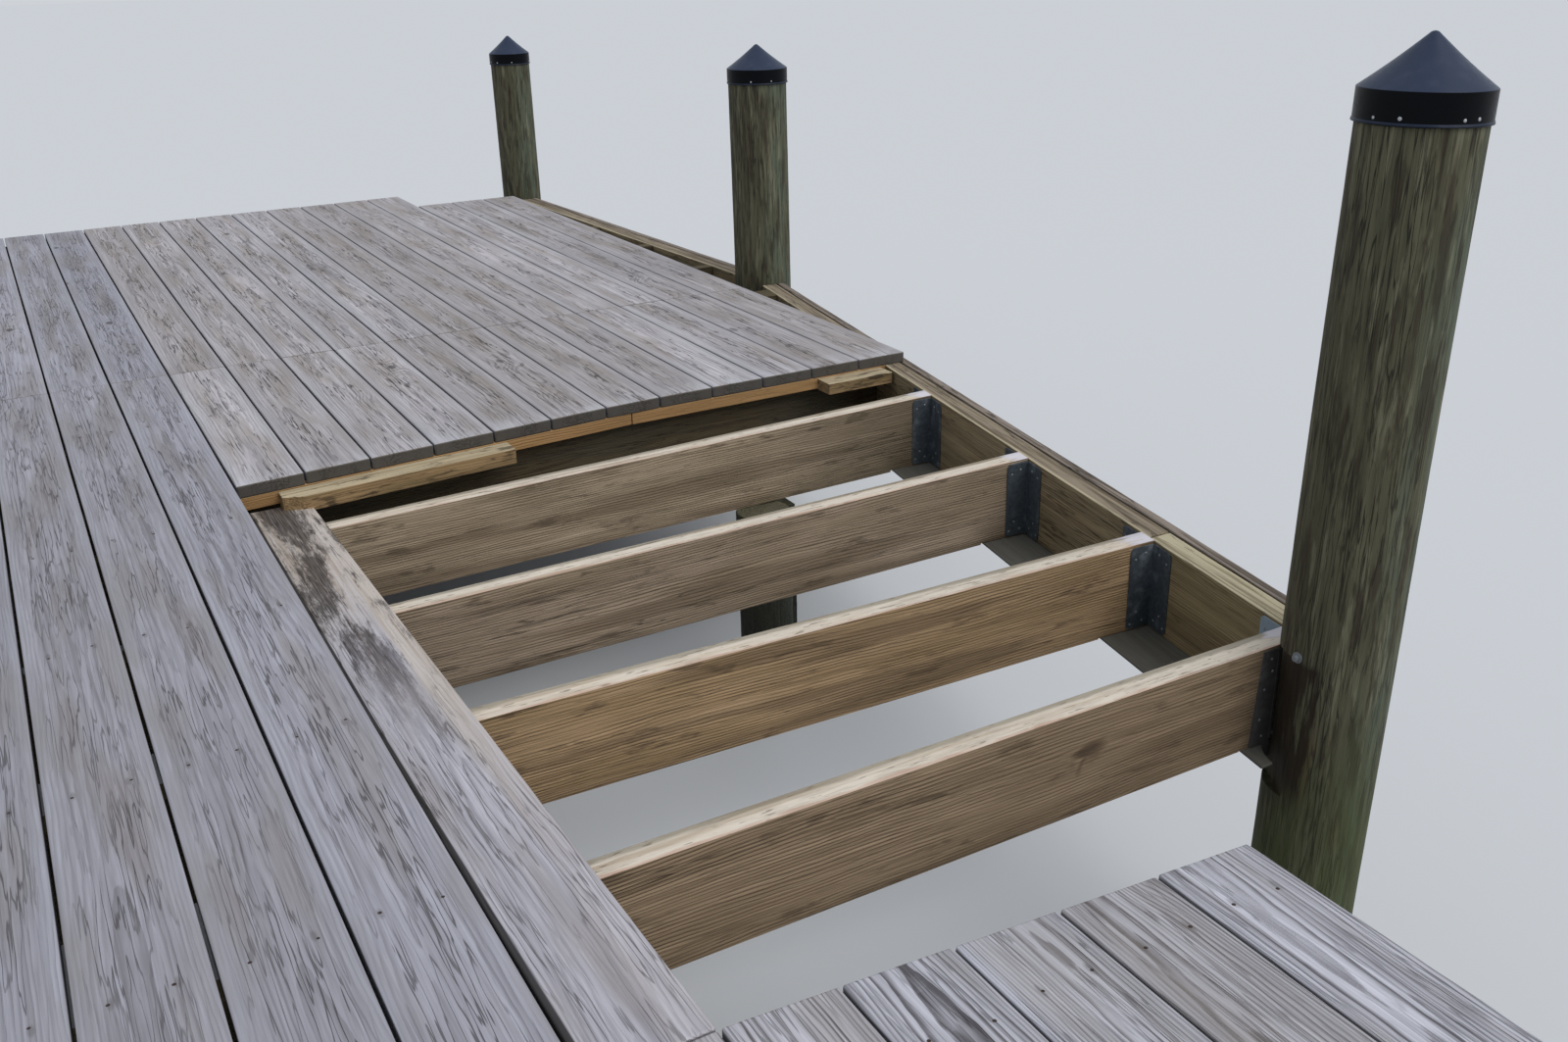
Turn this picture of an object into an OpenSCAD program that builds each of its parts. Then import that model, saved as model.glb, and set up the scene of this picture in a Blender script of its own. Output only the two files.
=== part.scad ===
// Wooden jetty with one bay stripped for repair, running beside a bank.
// X runs from the bank out over the water, Y runs along the deck boards, Z is up.
// Plan sizes are measured from the corner where the inner edge of the open bay
// meets the sawn end of the near deck. The last step centres the whole plan.

/* [Deck] */
// height of the walking surface above the pile feet
deck_height = 1050; // [600:10:1600]
// width taken by one deck board with its gap
board_pitch = 190.5; // [150:0.5:250]
// gap between two deck boards
board_gap = 6.5; // [3:0.5:15]
// thickness of a deck board
board_thick = 38; // [25:1:50]
// number of boards on the bank side of the open bay
bank_boards = 10; // [5:1:14]
// number of boards over the water beyond the open bay
water_boards = 11; // [6:1:14]
// number of those that run on to the far end
far_boards = 8; // [4:1:11]
// width taken by one board of the near deck with its gap
near_pitch = 184; // [150:0.5:250]
// number of boards left on the near deck
near_boards = 5; // [3:1:8]
// gap where two boards meet end to end
butt_gap = 3; // [1:0.5:8]

/* [Lengths] */
// near end of the jetty, behind the open bay
near_end = -3600; // [-5000:10:-3400]
// far end of the jetty
far_end = 7130; // [5000:10:9000]
// near face of the first joist behind the sawn end of the near deck
near_joist = -198; // [-400:1:-160]
// row of board joints beside the second mooring pile
far_joint = 3843; // [3400:1:4400]
// end of the outermost far boards
step_end = 6720; // [6000:10:7000]
// slope of the sawn end of the near deck, per unit of width
near_cut_slope = -0.0766; // [-0.2:0.001:0.2]
// distance to the sawn end of the far deck
far_cut = 2560; // [2000:10:3500]
// slope of the sawn end of the far deck, per unit of width
far_cut_slope = 0.078; // [0:0.001:0.2]
// distance across the jetty where that sawn end turns straight
far_cut_bend = 1040; // [800:10:1400]

/* [Open bay] */
// depth of a joist
joist_depth = 235; // [140:1:300]
// thickness of a joist
joist_thick = 57; // [30:1:64]
// near face of each open joist where it meets the rim
joist_out = [430, 982, 1617, 2265]; // [400:1:2400]
// near face of each open joist at the inner edge of the bay
joist_in = [454, 1085, 1703, 2368]; // [400:1:2400]
// how far the inner side of the bay has sunk, per unit of length
sag = 0.0325; // [0:0.0005:0.05]
// width of the sunken beam under the inner joist ends
bay_beam_wide = 76; // [38:1:150]
// centre of that beam, back from the inner edge of the bay
bay_beam_in = 117; // [80:1:140]
// diameter of the posts under that beam
sunken_dia = 150; // [100:1:160]
// how far a joist runs on past the centre of that beam
joist_past = 45; // [38:1:60]

/* [Rim] */
// outer face of the rim past the centre of the bay pile and of the corner pile
rim_past = [84, 58]; // [30:1:100]
// where the rim starts, past the centre of the bay pile
rim_start = 25; // [0:1:80]
// thickness of the inner rim board
rim_thick = 63; // [30:1:80]
// thickness of the outer facing board
fascia_thick = 30; // [20:1:60]
// open groove between the two
rim_groove = 6; // [2:0.5:20]
// width of the flat plate under the rim
ledge_wide = 243; // [150:1:300]
// thickness of that plate
ledge_thick = 6; // [4:1:12]
// end joint between the two inner rim boards
rim_joint = 1000; // [600:1:1500]

/* [Piles] */
// diameter of each mooring pile, near to far
pile_dia = [238, 229, 246, 220]; // [180:1:320]
// plan position of each mooring pile, near to far
pile_x = [990, 1616, 2320, 2202]; // [900:1:2600]
// distance of each mooring pile along the jetty
pile_y = [-3200, 340, 4090, 6880]; // [-3400:1:7000]
// height of the lower edge of each pile's cap above the deck
pile_rise = [950, 1030, 800, 725]; // [600:1:1300]
// degrees that each mooring pile leans out over the water, turned at the deck's surface
pile_lean = [0, 1.2, 0, 0]; // [0:0.1:3]
// depth of the notch that seats the rim in the corner pile and the end pile
pile_notch = 16; // [5:1:40]
// clearance round what a notch seats
notch_clear = 1; // [0.5:0.5:3]
// depth of the flat on the bay pile, turned to the open bay
flat_deep = 10; // [4:1:20]
// how far that flat runs on below the joists and above them
flat_past = [72, 14]; // [4:1:120]
// clearance between the bay pile and the first open joist
seat_clear = 15; // [5:1:30]
// clearance of a deck board or the plate under the rim round a mooring pile
board_clear = 8; // [4:1:20]
// diameter of a short pile under the deck
stub_dia = 200; // [150:1:260]
// spacing of the short piles
stub_step = 2500; // [2000:10:3500]
// number of short piles in a row
stub_count = 5; // [4:1:7]
// diameter of the lone pile under the open bay
lone_dia = 172; // [120:1:220]
// plan position of the lone pile
lone_pos = [1305, 2262]; // [1000:1:2300]
// side of the square post beside it
post_side = 89; // [60:1:140]
// height of the square post below the joists
post_drop = 60; // [0:1:200]

/* [Caps] */
// height of the cap's skirt
cap_skirt = 62; // [40:1:90]
// height of the cap's cone
cap_cone = 90; // [60:1:140]
// wall thickness of the cap
cap_wall = 3; // [2:0.5:8]
// how far the cap's lip stands out
cap_lip = 2; // [1:0.5:6]
// height of that lip
lip_tall = 4; // [2:0.5:8]
// clearance between the cap and the pile
cap_clear = 1; // [0.5:0.5:3]
// radius of the cap's blunt point
cap_point = 10; // [5:1:30]

/* [Framing] */
// depth of a beam under the joists
beam_depth = 184; // [140:1:240]
// thickness of a doubled beam
beam_wide = 76; // [60:1:120]
// spacing of the joists under the deck
joist_pitch = 610; // [500:5:640]
// distance of the beam on the bank side from its rim
bank_beam_in = 180; // [110:5:400]
// distance of the middle beam from the inner edge of the open bay
inner_beam_in = 310; // [300:1:500]
// distance of the near deck's beam from its rim
near_beam_in = 260; // [140:5:400]
// distance from a beam's end to the end of the deck
beam_end = 40; // [0:5:100]
// distance from the sawn end of the near deck to the ends of its rim and its beam
near_setback = 141; // [141:1:180]
// overhang of the deck past its rim
overhang = 38; // [0:1:80]

/* [Brackets] */
// steel thickness of an angle bracket
bracket_thick = 4; // [2:0.5:8]
// leg that lies on the joist
joist_leg = 72; // [40:1:100]
// leg that lies on the rim
rim_leg = 78; // [40:1:110]
// height of a bracket
bracket_tall = 222; // [120:1:230]
// distance of the bracket's top below the joist's top
bracket_drop = 8; // [2:1:40]

/* [Loose ends] */
// side of the new strip under the far deck's sawn end
strip_side = 38; // [25:1:60]
// thickness of the long block and of the short block
block_thick = [47, 37]; // [25:1:50]
// start and end of the long block across the jetty
long_span = [-80, 610]; // [-100:1:800]
// length of the short block
short_long = 256; // [150:1:600]
// distance from the short block's end to the rim
short_clear = 9; // [2:1:40]
// cut-off corner of the long block, across the jetty and along it
block_chamfer = [60, 24]; // [10:1:80]
// width of an offcut block
block_wide = 76; // [60:1:100]
// clearance above an offcut block
block_clear = 3; // [1:0.5:6]

/* [Hidden] */
$fn = 96;
joist_top = deck_height - board_thick;
joist_low = joist_top - joist_depth;
beam_low = joist_low - beam_depth;
bank_edge = -bank_boards * board_pitch;
water_edge = water_boards * board_pitch;
far_edge = far_boards * board_pitch;
near_edge = near_boards * near_pitch;
half_gap = board_gap / 2;
half_butt = butt_gap / 2;
near_joint = near_joist - joist_pitch + joist_thick / 2;
rim_all = rim_thick + rim_groove + fascia_thick;
flat_turn = 150;
rim_slope = (pile_x[2] + rim_past[1] - pile_x[1] - rim_past[0]) / (pile_y[2] - pile_y[1]);
rim_skew = atan(rim_slope);
rim_dir = [sin(rim_skew), cos(rim_skew)];
back_slope = (pile_x[3] - pile_x[2]) / (pile_y[3] - pile_y[2]);
bank_rim_x = bank_edge + overhang;
frame_x = bank_rim_x + rim_thick;
near_rim_x = near_edge - overhang;
bay_beam_x = -bay_beam_in;
inner_beam_x = -inner_beam_in;
bank_beam_x = bank_rim_x + bank_beam_in;
near_beam_x = near_rim_x - near_beam_in;
step_x = far_edge - overhang;
plan_x = [bank_edge + half_gap, max([for (i = [0 : 3]) pile_x[i] + cap_r(i)])];
plan_y = [near_end, far_end];
seat_near = pile_y[1] + rim_start;
seat_far = pile_y[2] - pile_r(2) + pile_notch;
seat_back = pile_y[2] + pile_r(2) - pile_notch;
seat_end = pile_y[3] - pile_r(3) + pile_notch;

// which piece to build, or all of them

// radius of a mooring pile, and of its cap over the lip
function pile_r(i) = pile_dia[i] / 2;
function cap_r(i) = pile_r(i) + cap_clear + cap_wall + cap_lip;

// lines in plan
function near_cut(x) = near_cut_slope * x;
function far_cut_at(x) = far_cut + far_cut_slope * min(x, far_cut_bend);
function rim_x(y, inset) =
  pile_x[1] + rim_past[0] + rim_slope * (y - pile_y[1]) - inset / cos(rim_skew);
function back_x(y, inset) = pile_x[2] + back_slope * (y - pile_y[2]) + rim_all / 2 - inset;
function frame_end(y) = y < pile_y[2] ? rim_x(y, rim_all) : back_x(y, rim_all);
function unit(v) = v / norm(v);
// where a line that leaves the inner edge of the bay at y0 meets the rim
function line_end(y0, slope, inset) =
  let (x = (rim_x(0, inset) + rim_slope * y0) / (1 - rim_slope * slope))
  [x, y0 + slope * x];

// the open joists in plan, counted from the near one
function lean(i) = (joist_out[i] - joist_in[i]) / rim_x(joist_out[i], rim_all);
function joist_back(i) = joist_in[i] + joist_thick * norm([1, lean(i)]);
function near_corner(i) = [rim_x(joist_out[i], rim_all), joist_out[i]];
function far_corner(i) = line_end(joist_back(i), lean(i), rim_all);
// how far an open joist has sunk at x
function joist_drop(i, x) =
  let (end = near_corner(i)[0])
  sag * joist_in[i] * (end - x) / (end - bay_beam_x);

module centred() {
  translate([-(plan_x[0] + plan_x[1]) / 2, -(plan_y[0] + plan_y[1]) / 2, 0])
    children();
}

module slab(points, low, high) {
  translate([0, 0, low])
    linear_extrude(height = high - low)
      polygon(points);
}

module box(x0, x1, y0, y1, low, high) {
  translate([x0, y0, low])
    cube([x1 - x0, y1 - y0, high - low]);
}

// an upright outline in Y and Z, given a width across the jetty
module upright(x0, x1, points) {
  translate([x0, 0, 0])
    rotate([90, 0, 90])
      linear_extrude(height = x1 - x0)
        polygon(points);
}

module board(x0, x1, near, far) {
  slab([[x0, near[0]], [x1, near[1]], [x1, far[1]], [x0, far[0]]], joist_top, deck_height);
}

module pile(x, y, d, high) {
  translate([x, y, 0])
    cylinder(d = d, h = high);
}

// what stands on a mooring pile's axis, with its lean
module leaning(i) {
  translate([pile_x[i], pile_y[i], deck_height])
    rotate([0, pile_lean[i], 0])
      translate([0, 0, -deck_height])
        children();
}

// mooring piles, cut level at the foot and notched where they seat the rim
module mooring_pile(i) {
  spare = pile_dia[i];
  difference() {
    leaning(i)
      translate([0, 0, -spare])
        cylinder(d = pile_dia[i], h = spare + deck_height + pile_rise[i] + cap_skirt - cap_wall);
    box(pile_x[i] - spare, pile_x[i] + spare, pile_y[i] - spare, pile_y[i] + spare, -2 * spare, 0);
  }
}

module notch(i, y0, y1) {
  box(pile_x[i] - pile_dia[i], pile_x[i] + pile_dia[i], y0, y1, joist_low - notch_clear,
    joist_top + notch_clear);
}

module near_pile() {
  color([0.42, 0.42, 0.33])
    centred()
      difference() {
        mooring_pile(0);
        box(near_rim_x - pile_dia[0], near_rim_x + notch_clear, pile_y[0] - pile_dia[0],
          pile_y[0] + pile_dia[0], joist_low - notch_clear, joist_top + notch_clear);
      }
}

// the bay pile has a slot for the rim, a seat beside the first joist and a shallow flat
module bay_pile() {
  wide = pile_dia[1];
  low = joist_low - notch_clear;
  high = joist_top + notch_clear;
  color([0.42, 0.42, 0.33])
    centred()
      difference() {
        mooring_pile(1);
        notch(1, joist_out[0] - seat_clear, seat_near + wide);
        rim_strip(seat_near - notch_clear, seat_near + wide, -wide,
          rim_all + bracket_thick + notch_clear, low, high);
        translate([pile_x[1], pile_y[1], 0])
          rotate([0, 0, flat_turn])
            box(pile_r(1) - flat_deep, wide, -wide, wide, joist_low - flat_past[0],
              joist_top + flat_past[1]);
      }
}

module corner_pile() {
  color([0.42, 0.42, 0.33])
    centred()
      difference() {
        mooring_pile(2);
        notch(2, seat_far - pile_dia[2], seat_far + notch_clear);
        notch(2, seat_back - notch_clear, seat_back + pile_dia[2]);
      }
}

module end_pile() {
  color([0.42, 0.42, 0.33])
    centred()
      difference() {
        mooring_pile(3);
        notch(3, seat_end - pile_dia[3], seat_end + notch_clear);
      }
}

// conical caps with a skirt and a small lip
module cap(i) {
  r = pile_r(i) + cap_clear;
  w = r + cap_wall;
  top = cap_skirt + cap_cone;
  color([0.08, 0.08, 0.1])
    centred()
      leaning(i)
        translate([0, 0, deck_height + pile_rise[i]])
          rotate_extrude()
            polygon([[r, 0], [w + cap_lip, 0], [w + cap_lip, lip_tall], [w, lip_tall + cap_lip],
              [w, cap_skirt], [cap_point, top], [0, top + cap_point / 5], [0, top - cap_wall],
              [r, cap_skirt - cap_wall]]);
}

module near_cap() {
  cap(0);
}

module bay_cap() {
  cap(1);
}

module corner_cap() {
  cap(2);
}

module end_cap() {
  cap(3);
}

// short piles under the beams
module stub_row(x, count) {
  color([0.38, 0.38, 0.3])
    centred()
      for (i = [0 : count - 1])
        pile(x, pile_y[0] + i * stub_step, stub_dia, beam_low);
}

module bank_piles() {
  stub_row(bank_beam_x, stub_count);
}

module inner_piles() {
  stub_row(inner_beam_x, stub_count);
}

module near_stubs() {
  stub_row(near_beam_x, 2);
}

// the sunken inner side of the open bay
module sunken_posts() {
  color([0.38, 0.38, 0.3])
    centred()
      for (y = [joist_in[0], joist_in[3]])
        pile(bay_beam_x, y, sunken_dia, beam_low - sag * (y + sunken_dia / 2));
}

module sunken_beam() {
  a = joist_in[0] - sunken_dia / 2 - beam_end;
  b = far_cut - beam_end;
  color([0.5, 0.42, 0.3])
    centred()
      upright(bay_beam_x - bay_beam_wide / 2, bay_beam_x + bay_beam_wide / 2,
        [[a, beam_low - sag * a], [b, beam_low - sag * b], [b, joist_low - sag * b],
          [a, joist_low - sag * a]]);
}

// the pile that props the farthest open joist, and the square post beside it
module lone_pile() {
  color([0.2, 0.2, 0.16])
    centred()
      pile(lone_pos[0], lone_pos[1], lone_dia,
        joist_low - joist_drop(3, lone_pos[0] - lone_dia / 2));
}

module square_post() {
  reach = lone_dia / 2 * sqrt(1 / 2);
  x = lone_pos[0] + reach;
  y = lone_pos[1] + reach;
  color([0.16, 0.16, 0.14])
    centred()
      box(x, x + post_side, y, y + post_side, 0, joist_low - post_drop);
}

// doubled beams on the short piles
module beam(x, y1) {
  color([0.5, 0.42, 0.3])
    centred()
      box(x - beam_wide / 2, x + beam_wide / 2, near_end + beam_end, y1, beam_low, joist_low);
}

module bank_beam() {
  beam(bank_beam_x, far_end - beam_end);
}

module inner_beam() {
  beam(inner_beam_x, far_end - beam_end);
}

module near_beam() {
  beam(near_beam_x, -near_setback);
}

// rim boards along the straight edges
module bank_rim() {
  color([0.45, 0.38, 0.28])
    centred()
      box(bank_rim_x, frame_x, near_end + overhang, far_end - overhang, joist_low, joist_top);
}

module near_rim() {
  color([0.45, 0.38, 0.28])
    centred()
      box(near_rim_x - rim_thick, near_rim_x, near_end + overhang, -near_setback,
        joist_low, joist_top);
}

module near_end_rim() {
  y = near_end + overhang;
  color([0.45, 0.38, 0.28])
    centred()
      box(frame_x, near_rim_x - rim_thick, y, y + rim_thick, joist_low, joist_top);
}

module far_end_rim() {
  y = far_end - overhang;
  color([0.45, 0.38, 0.28])
    centred() {
      box(frame_x, step_x + rim_thick, y - rim_thick, y, joist_low, joist_top);
      box(step_x, step_x + rim_thick, step_end - overhang, y - rim_thick - half_butt,
        joist_low, joist_top);
    }
}

// joists hidden under the decks
module near_joists() {
  last = floor((near_joist - near_end - overhang - rim_thick) / joist_pitch);
  color([0.5, 0.42, 0.3])
    centred()
      for (i = [0 : last]) {
        y = near_joist - i * joist_pitch;
        box(frame_x, near_rim_x - rim_thick, y, y + joist_thick, joist_low, joist_top);
      }
}

module bank_joists() {
  end = inner_beam_x + beam_wide / 2 + beam_end / 2;
  last = floor((far_cut - joist_in[0]) / joist_pitch);
  color([0.5, 0.42, 0.3])
    centred()
      for (i = [0 : last]) {
        y = joist_in[0] + i * joist_pitch;
        box(frame_x, end, y, y + joist_thick, joist_low, joist_top);
      }
}

module far_joist(y, wide) {
  slab([[frame_x, y], [frame_end(y), y], [frame_end(y + wide), y + wide], [frame_x, y + wide]],
    joist_low, joist_top);
}

module far_joists() {
  last_y = step_end - overhang - joist_thick;
  last = floor((last_y - joist_thick - far_joint) / joist_pitch);
  color([0.48, 0.42, 0.31])
    centred() {
      far_joist(far_joint - joist_pitch, joist_thick);
      far_joist(far_joint - joist_thick, 2 * joist_thick);
      for (i = [1 : last])
        far_joist(far_joint + i * joist_pitch, joist_thick);
      far_joist(last_y, joist_thick);
    }
}

// the last old joist, behind the strip under the sawn end of the far deck
module cut_joist() {
  slope = far_cut_slope / 2;
  near = far_cut_at(far_cut_bend) - slope * far_cut_bend + strip_side;
  far = near + joist_thick;
  color([0.3, 0.3, 0.24])
    centred()
      slab([[frame_x, near + slope * frame_x], line_end(near, slope, rim_all),
        line_end(far, slope, rim_all), [frame_x, far + slope * frame_x]], joist_low, joist_top);
}

// the four open joists, sunk at their inner ends and cut level where they lie on the plate
module open_joist(i) {
  x0 = bay_beam_x - joist_past;
  x1 = max(near_corner(i)[0], far_corner(i)[0]) + joist_past;
  seat = rim_x(joist_out[i], ledge_wide) - board_clear;
  drop0 = joist_drop(i, x0);
  drop1 = joist_drop(i, x1);
  tall = joist_depth + drop0;
  s = lean(i);
  centred()
    intersection() {
      slab([[x0, joist_in[i] + s * x0], near_corner(i), far_corner(i), [x0, joist_back(i) + s * x0]],
        joist_top - tall, joist_top);
      translate([0, joist_in[i] + tall, 0])
        rotate([90, 0, 0])
          linear_extrude(height = 3 * tall)
            polygon([[x0, joist_low - drop0], [seat, joist_low - joist_drop(i, seat)],
              [seat, joist_low], [x1, joist_low], [x1, joist_top - drop1],
              [x0, joist_top - drop0]]);
    }
}

module joist_1() {
  color([0.62, 0.5, 0.34])
    open_joist(0);
}

module joist_2() {
  color([0.6, 0.49, 0.34])
    open_joist(1);
}

module joist_3() {
  color([0.58, 0.47, 0.33])
    open_joist(2);
}

module joist_4() {
  color([0.6, 0.5, 0.34])
    open_joist(3);
}

// the double rim, skewed beside the bay and straighter beyond the corner pile
module rim_strip(y0, y1, inset0, inset1, low, high) {
  slab([[rim_x(y0, inset1), y0], [rim_x(y0, inset0), y0], [rim_x(y1, inset0), y1],
    [rim_x(y1, inset1), y1]], low, high);
}

module back_strip(inset0, inset1, low, high) {
  slab([[back_x(seat_back, inset1), seat_back], [back_x(seat_back, inset0), seat_back],
    [back_x(seat_end, inset0), seat_end], [back_x(seat_end, inset1), seat_end]], low, high);
}

module rim_new() {
  color([0.66, 0.6, 0.42])
    centred()
      rim_strip(seat_near, rim_joint - half_butt, rim_all - rim_thick, rim_all,
        joist_low, joist_top);
}

module rim_old() {
  color([0.48, 0.42, 0.31])
    centred() {
      rim_strip(rim_joint + half_butt, seat_far, rim_all - rim_thick, rim_all,
        joist_low, joist_top);
      back_strip(rim_all - rim_thick, rim_all, joist_low, joist_top);
    }
}

module fascia() {
  color([0.45, 0.4, 0.32])
    centred() {
      rim_strip(seat_near, seat_far, 0, fascia_thick, joist_low, joist_top);
      back_strip(0, fascia_thick, joist_low, joist_top);
    }
}

module rim_ledge() {
  color([0.24, 0.23, 0.22])
    centred()
      difference() {
        union() {
          rim_strip(seat_near, seat_far, 0, ledge_wide, joist_low - ledge_thick, joist_low);
          back_strip(0, ledge_wide, joist_low - ledge_thick, joist_low);
        }
        for (i = [1 : 3])
          leaning(i)
            cylinder(d = pile_dia[i] + 2 * board_clear, h = deck_height);
      }
}

// steel angles on both sides of each open joist
module angle_bracket(corner, along, side, turn, reach) {
  t = bracket_thick / sin(turn);
  joist_tip = corner + along * joist_leg;
  rim_tip = corner + side * reach;
  high = joist_top - bracket_drop;
  low = max(high - bracket_tall, joist_low + notch_clear);
  slab([corner, joist_tip, joist_tip + side * t, corner + (along + side) * t,
    rim_tip + along * t, rim_tip], low, high);
}

module angle_brackets() {
  first_reach = (joist_out[0] - seat_near - notch_clear) / cos(rim_skew);
  color([0.3, 0.33, 0.38])
    centred()
      for (i = [0 : 3]) {
        along = -unit([1, lean(i)]);
        turn = acos(-along * rim_dir);
        reach = i == 0 ? min(rim_leg, first_reach) : rim_leg;
        angle_bracket(near_corner(i), along, -rim_dir, turn, reach);
        angle_bracket(far_corner(i), along, rim_dir, 180 - turn, rim_leg);
      }
}

// deck boards
module lane(n, y0, y1) {
  x0 = n * board_pitch + half_gap;
  x1 = (n + 1) * board_pitch - half_gap;
  board(x0, x1, [y0, y0], [y1, y1]);
}

module bank_deck() {
  color([0.55, 0.55, 0.6])
    centred()
      for (n = [-bank_boards : -2]) {
        lane(n, near_end, near_joint - half_butt);
        lane(n, near_joint + half_butt, far_joint - half_butt);
        lane(n, far_joint + half_butt, far_end);
      }
}

module near_deck() {
  near_side = near_joint - half_butt;
  far_side = near_joint + half_butt;
  color([0.6, 0.6, 0.64])
    centred() {
      lane(-1, near_end, near_side);
      lane(-1, far_side, -half_butt);
      difference() {
        for (n = [0 : near_boards - 1]) {
          x0 = n * near_pitch + half_gap;
          x1 = (n + 1) * near_pitch - half_gap / 2;
          board(x0, x1, [near_end, near_end], [near_side, near_side]);
          board(x0, x1, [far_side, far_side], [near_cut(x0), near_cut(x1)]);
        }
        pile(pile_x[0], pile_y[0], pile_dia[0] + 2 * board_clear, 2 * deck_height);
      }
    }
}

module far_deck() {
  near_side = far_joint - half_butt;
  far_side = far_joint + half_butt;
  color([0.55, 0.54, 0.58])
    centred()
      for (n = [-1 : water_boards - 1]) {
        x0 = n * board_pitch + half_gap;
        x1 = (n + 1) * board_pitch - half_gap;
        y = n < far_boards ? far_end : step_end;
        board(x0, x1, [far_cut_at(x0), far_cut_at(x1)], [near_side, near_side]);
        board(x0, x1, [far_side, far_side], [y, y]);
      }
}

// the board that sinks with the inner side of the bay
module stained_board() {
  y1 = far_cut - strip_side / 2;
  color([0.66, 0.6, 0.52])
    centred()
      upright(-board_pitch + half_gap, -half_gap,
        [[half_butt, joist_top - sag * half_butt], [y1, joist_top - sag * y1],
          [y1, deck_height - sag * y1], [half_butt, deck_height - sag * half_butt]]);
}

// new strip in two lengths, and offcuts, nailed below the sawn end of the far deck
module nailing_strip() {
  x0 = -board_pitch + board_gap;
  y0 = far_cut_at(x0);
  y1 = far_cut_at(far_cut_bend);
  side = strip_side;
  low = joist_top - strip_side;
  color([0.75, 0.5, 0.3])
    centred() {
      slab([[x0, y0], [far_cut_bend - half_butt, y1], [far_cut_bend - half_butt, y1 + side],
        [x0, y0 + side]], low, joist_top);
      slab([[far_cut_bend + half_butt, y1], [rim_x(y1, rim_all), y1],
        [rim_x(y1 + side, rim_all), y1 + side], [far_cut_bend + half_butt, y1 + side]],
        low, joist_top);
    }
}

module block(span, chamfer, thick) {
  high = joist_top - block_clear;
  a = far_cut_at(span[0]);
  b = far_cut_at(span[1]);
  slab([[span[0], a - block_wide + chamfer[1]], [span[0] + chamfer[0], a - block_wide],
    [span[1], b - block_wide], [span[1], b], [span[0], a]], high - thick, high);
}

module long_block() {
  color([0.74, 0.64, 0.46])
    centred()
      block(long_span, block_chamfer, block_thick[0]);
}

module short_block() {
  end = rim_x(far_cut_at(far_cut_bend) - block_wide, rim_all) - short_clear;
  color([0.76, 0.68, 0.48])
    centred()
      block([end - short_long, end], [1, 1], block_thick[1]);
}

near_pile();
bay_pile();
corner_pile();
end_pile();
near_cap();
bay_cap();
corner_cap();
end_cap();
bank_piles();
inner_piles();
near_stubs();
sunken_posts();
lone_pile();
square_post();
bank_beam();
inner_beam();
near_beam();
sunken_beam();
bank_rim();
near_rim();
near_end_rim();
far_end_rim();
near_joists();
bank_joists();
far_joists();
cut_joist();
joist_1();
joist_2();
joist_3();
joist_4();
rim_old();
rim_new();
fascia();
rim_ledge();
angle_brackets();
bank_deck();
near_deck();
far_deck();
stained_board();
nailing_strip();
long_block();
short_block();
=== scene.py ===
# %% [markdown]
# # A wooden jetty with one bay stripped for repair
# The jetty is a deck of grey boards on piles. One bay has lost its boards, so its joists, steel angles and
# skewed double rim lie open. The construction is already modelled at real size. This lesson dresses it:
# every timber gets worn edges, its own grain and the weathering of its place, and the small steel is added.
# Everything is in metres, with X across the jetty towards the water, Y along the boards and Z up.

# %% Load the finished construction
import math
import random

import bmesh
import bpy
from mathutils import Matrix, Vector
from mathutils.bvhtree import BVHTree


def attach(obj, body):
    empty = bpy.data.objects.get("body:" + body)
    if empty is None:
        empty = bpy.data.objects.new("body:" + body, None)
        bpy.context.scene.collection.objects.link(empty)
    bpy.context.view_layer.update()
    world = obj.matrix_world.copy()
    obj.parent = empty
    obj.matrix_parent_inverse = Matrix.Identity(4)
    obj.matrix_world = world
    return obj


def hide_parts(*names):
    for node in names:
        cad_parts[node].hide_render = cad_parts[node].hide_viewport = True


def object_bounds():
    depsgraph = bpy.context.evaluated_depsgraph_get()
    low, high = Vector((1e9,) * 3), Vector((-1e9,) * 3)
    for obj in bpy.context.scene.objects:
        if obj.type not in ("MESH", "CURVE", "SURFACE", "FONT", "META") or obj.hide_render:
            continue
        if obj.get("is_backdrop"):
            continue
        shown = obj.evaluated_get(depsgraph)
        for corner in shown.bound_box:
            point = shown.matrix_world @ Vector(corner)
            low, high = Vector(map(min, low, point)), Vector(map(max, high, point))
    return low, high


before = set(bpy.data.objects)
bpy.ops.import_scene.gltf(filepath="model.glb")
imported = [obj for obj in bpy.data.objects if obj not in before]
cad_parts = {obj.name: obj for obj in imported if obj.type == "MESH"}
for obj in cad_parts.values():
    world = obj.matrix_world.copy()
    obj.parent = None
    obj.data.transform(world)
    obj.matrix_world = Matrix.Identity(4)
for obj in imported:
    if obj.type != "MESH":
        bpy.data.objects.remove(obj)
CAD_LOW, CAD_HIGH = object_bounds()
print("nodes:", len(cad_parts), "size:", [round(v, 3) for v in CAD_HIGH - CAD_LOW])

# %% [markdown]
# ## The camera
# The view is a person's, standing on the near deck and looking down over the open bay. The lens, place and
# tilts were worked out by fitting straight lines of the deck. A roll of a degree and a half is part of it.

# %% Set the camera
LENS_MM = 32.28
SENSOR_MM = 36.0
CAMERA_SPOT = Vector((-0.9081, -3.125, 2.409))
HEADING, DIP, ROLL = 29.07, 22.49, 1.47

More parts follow.
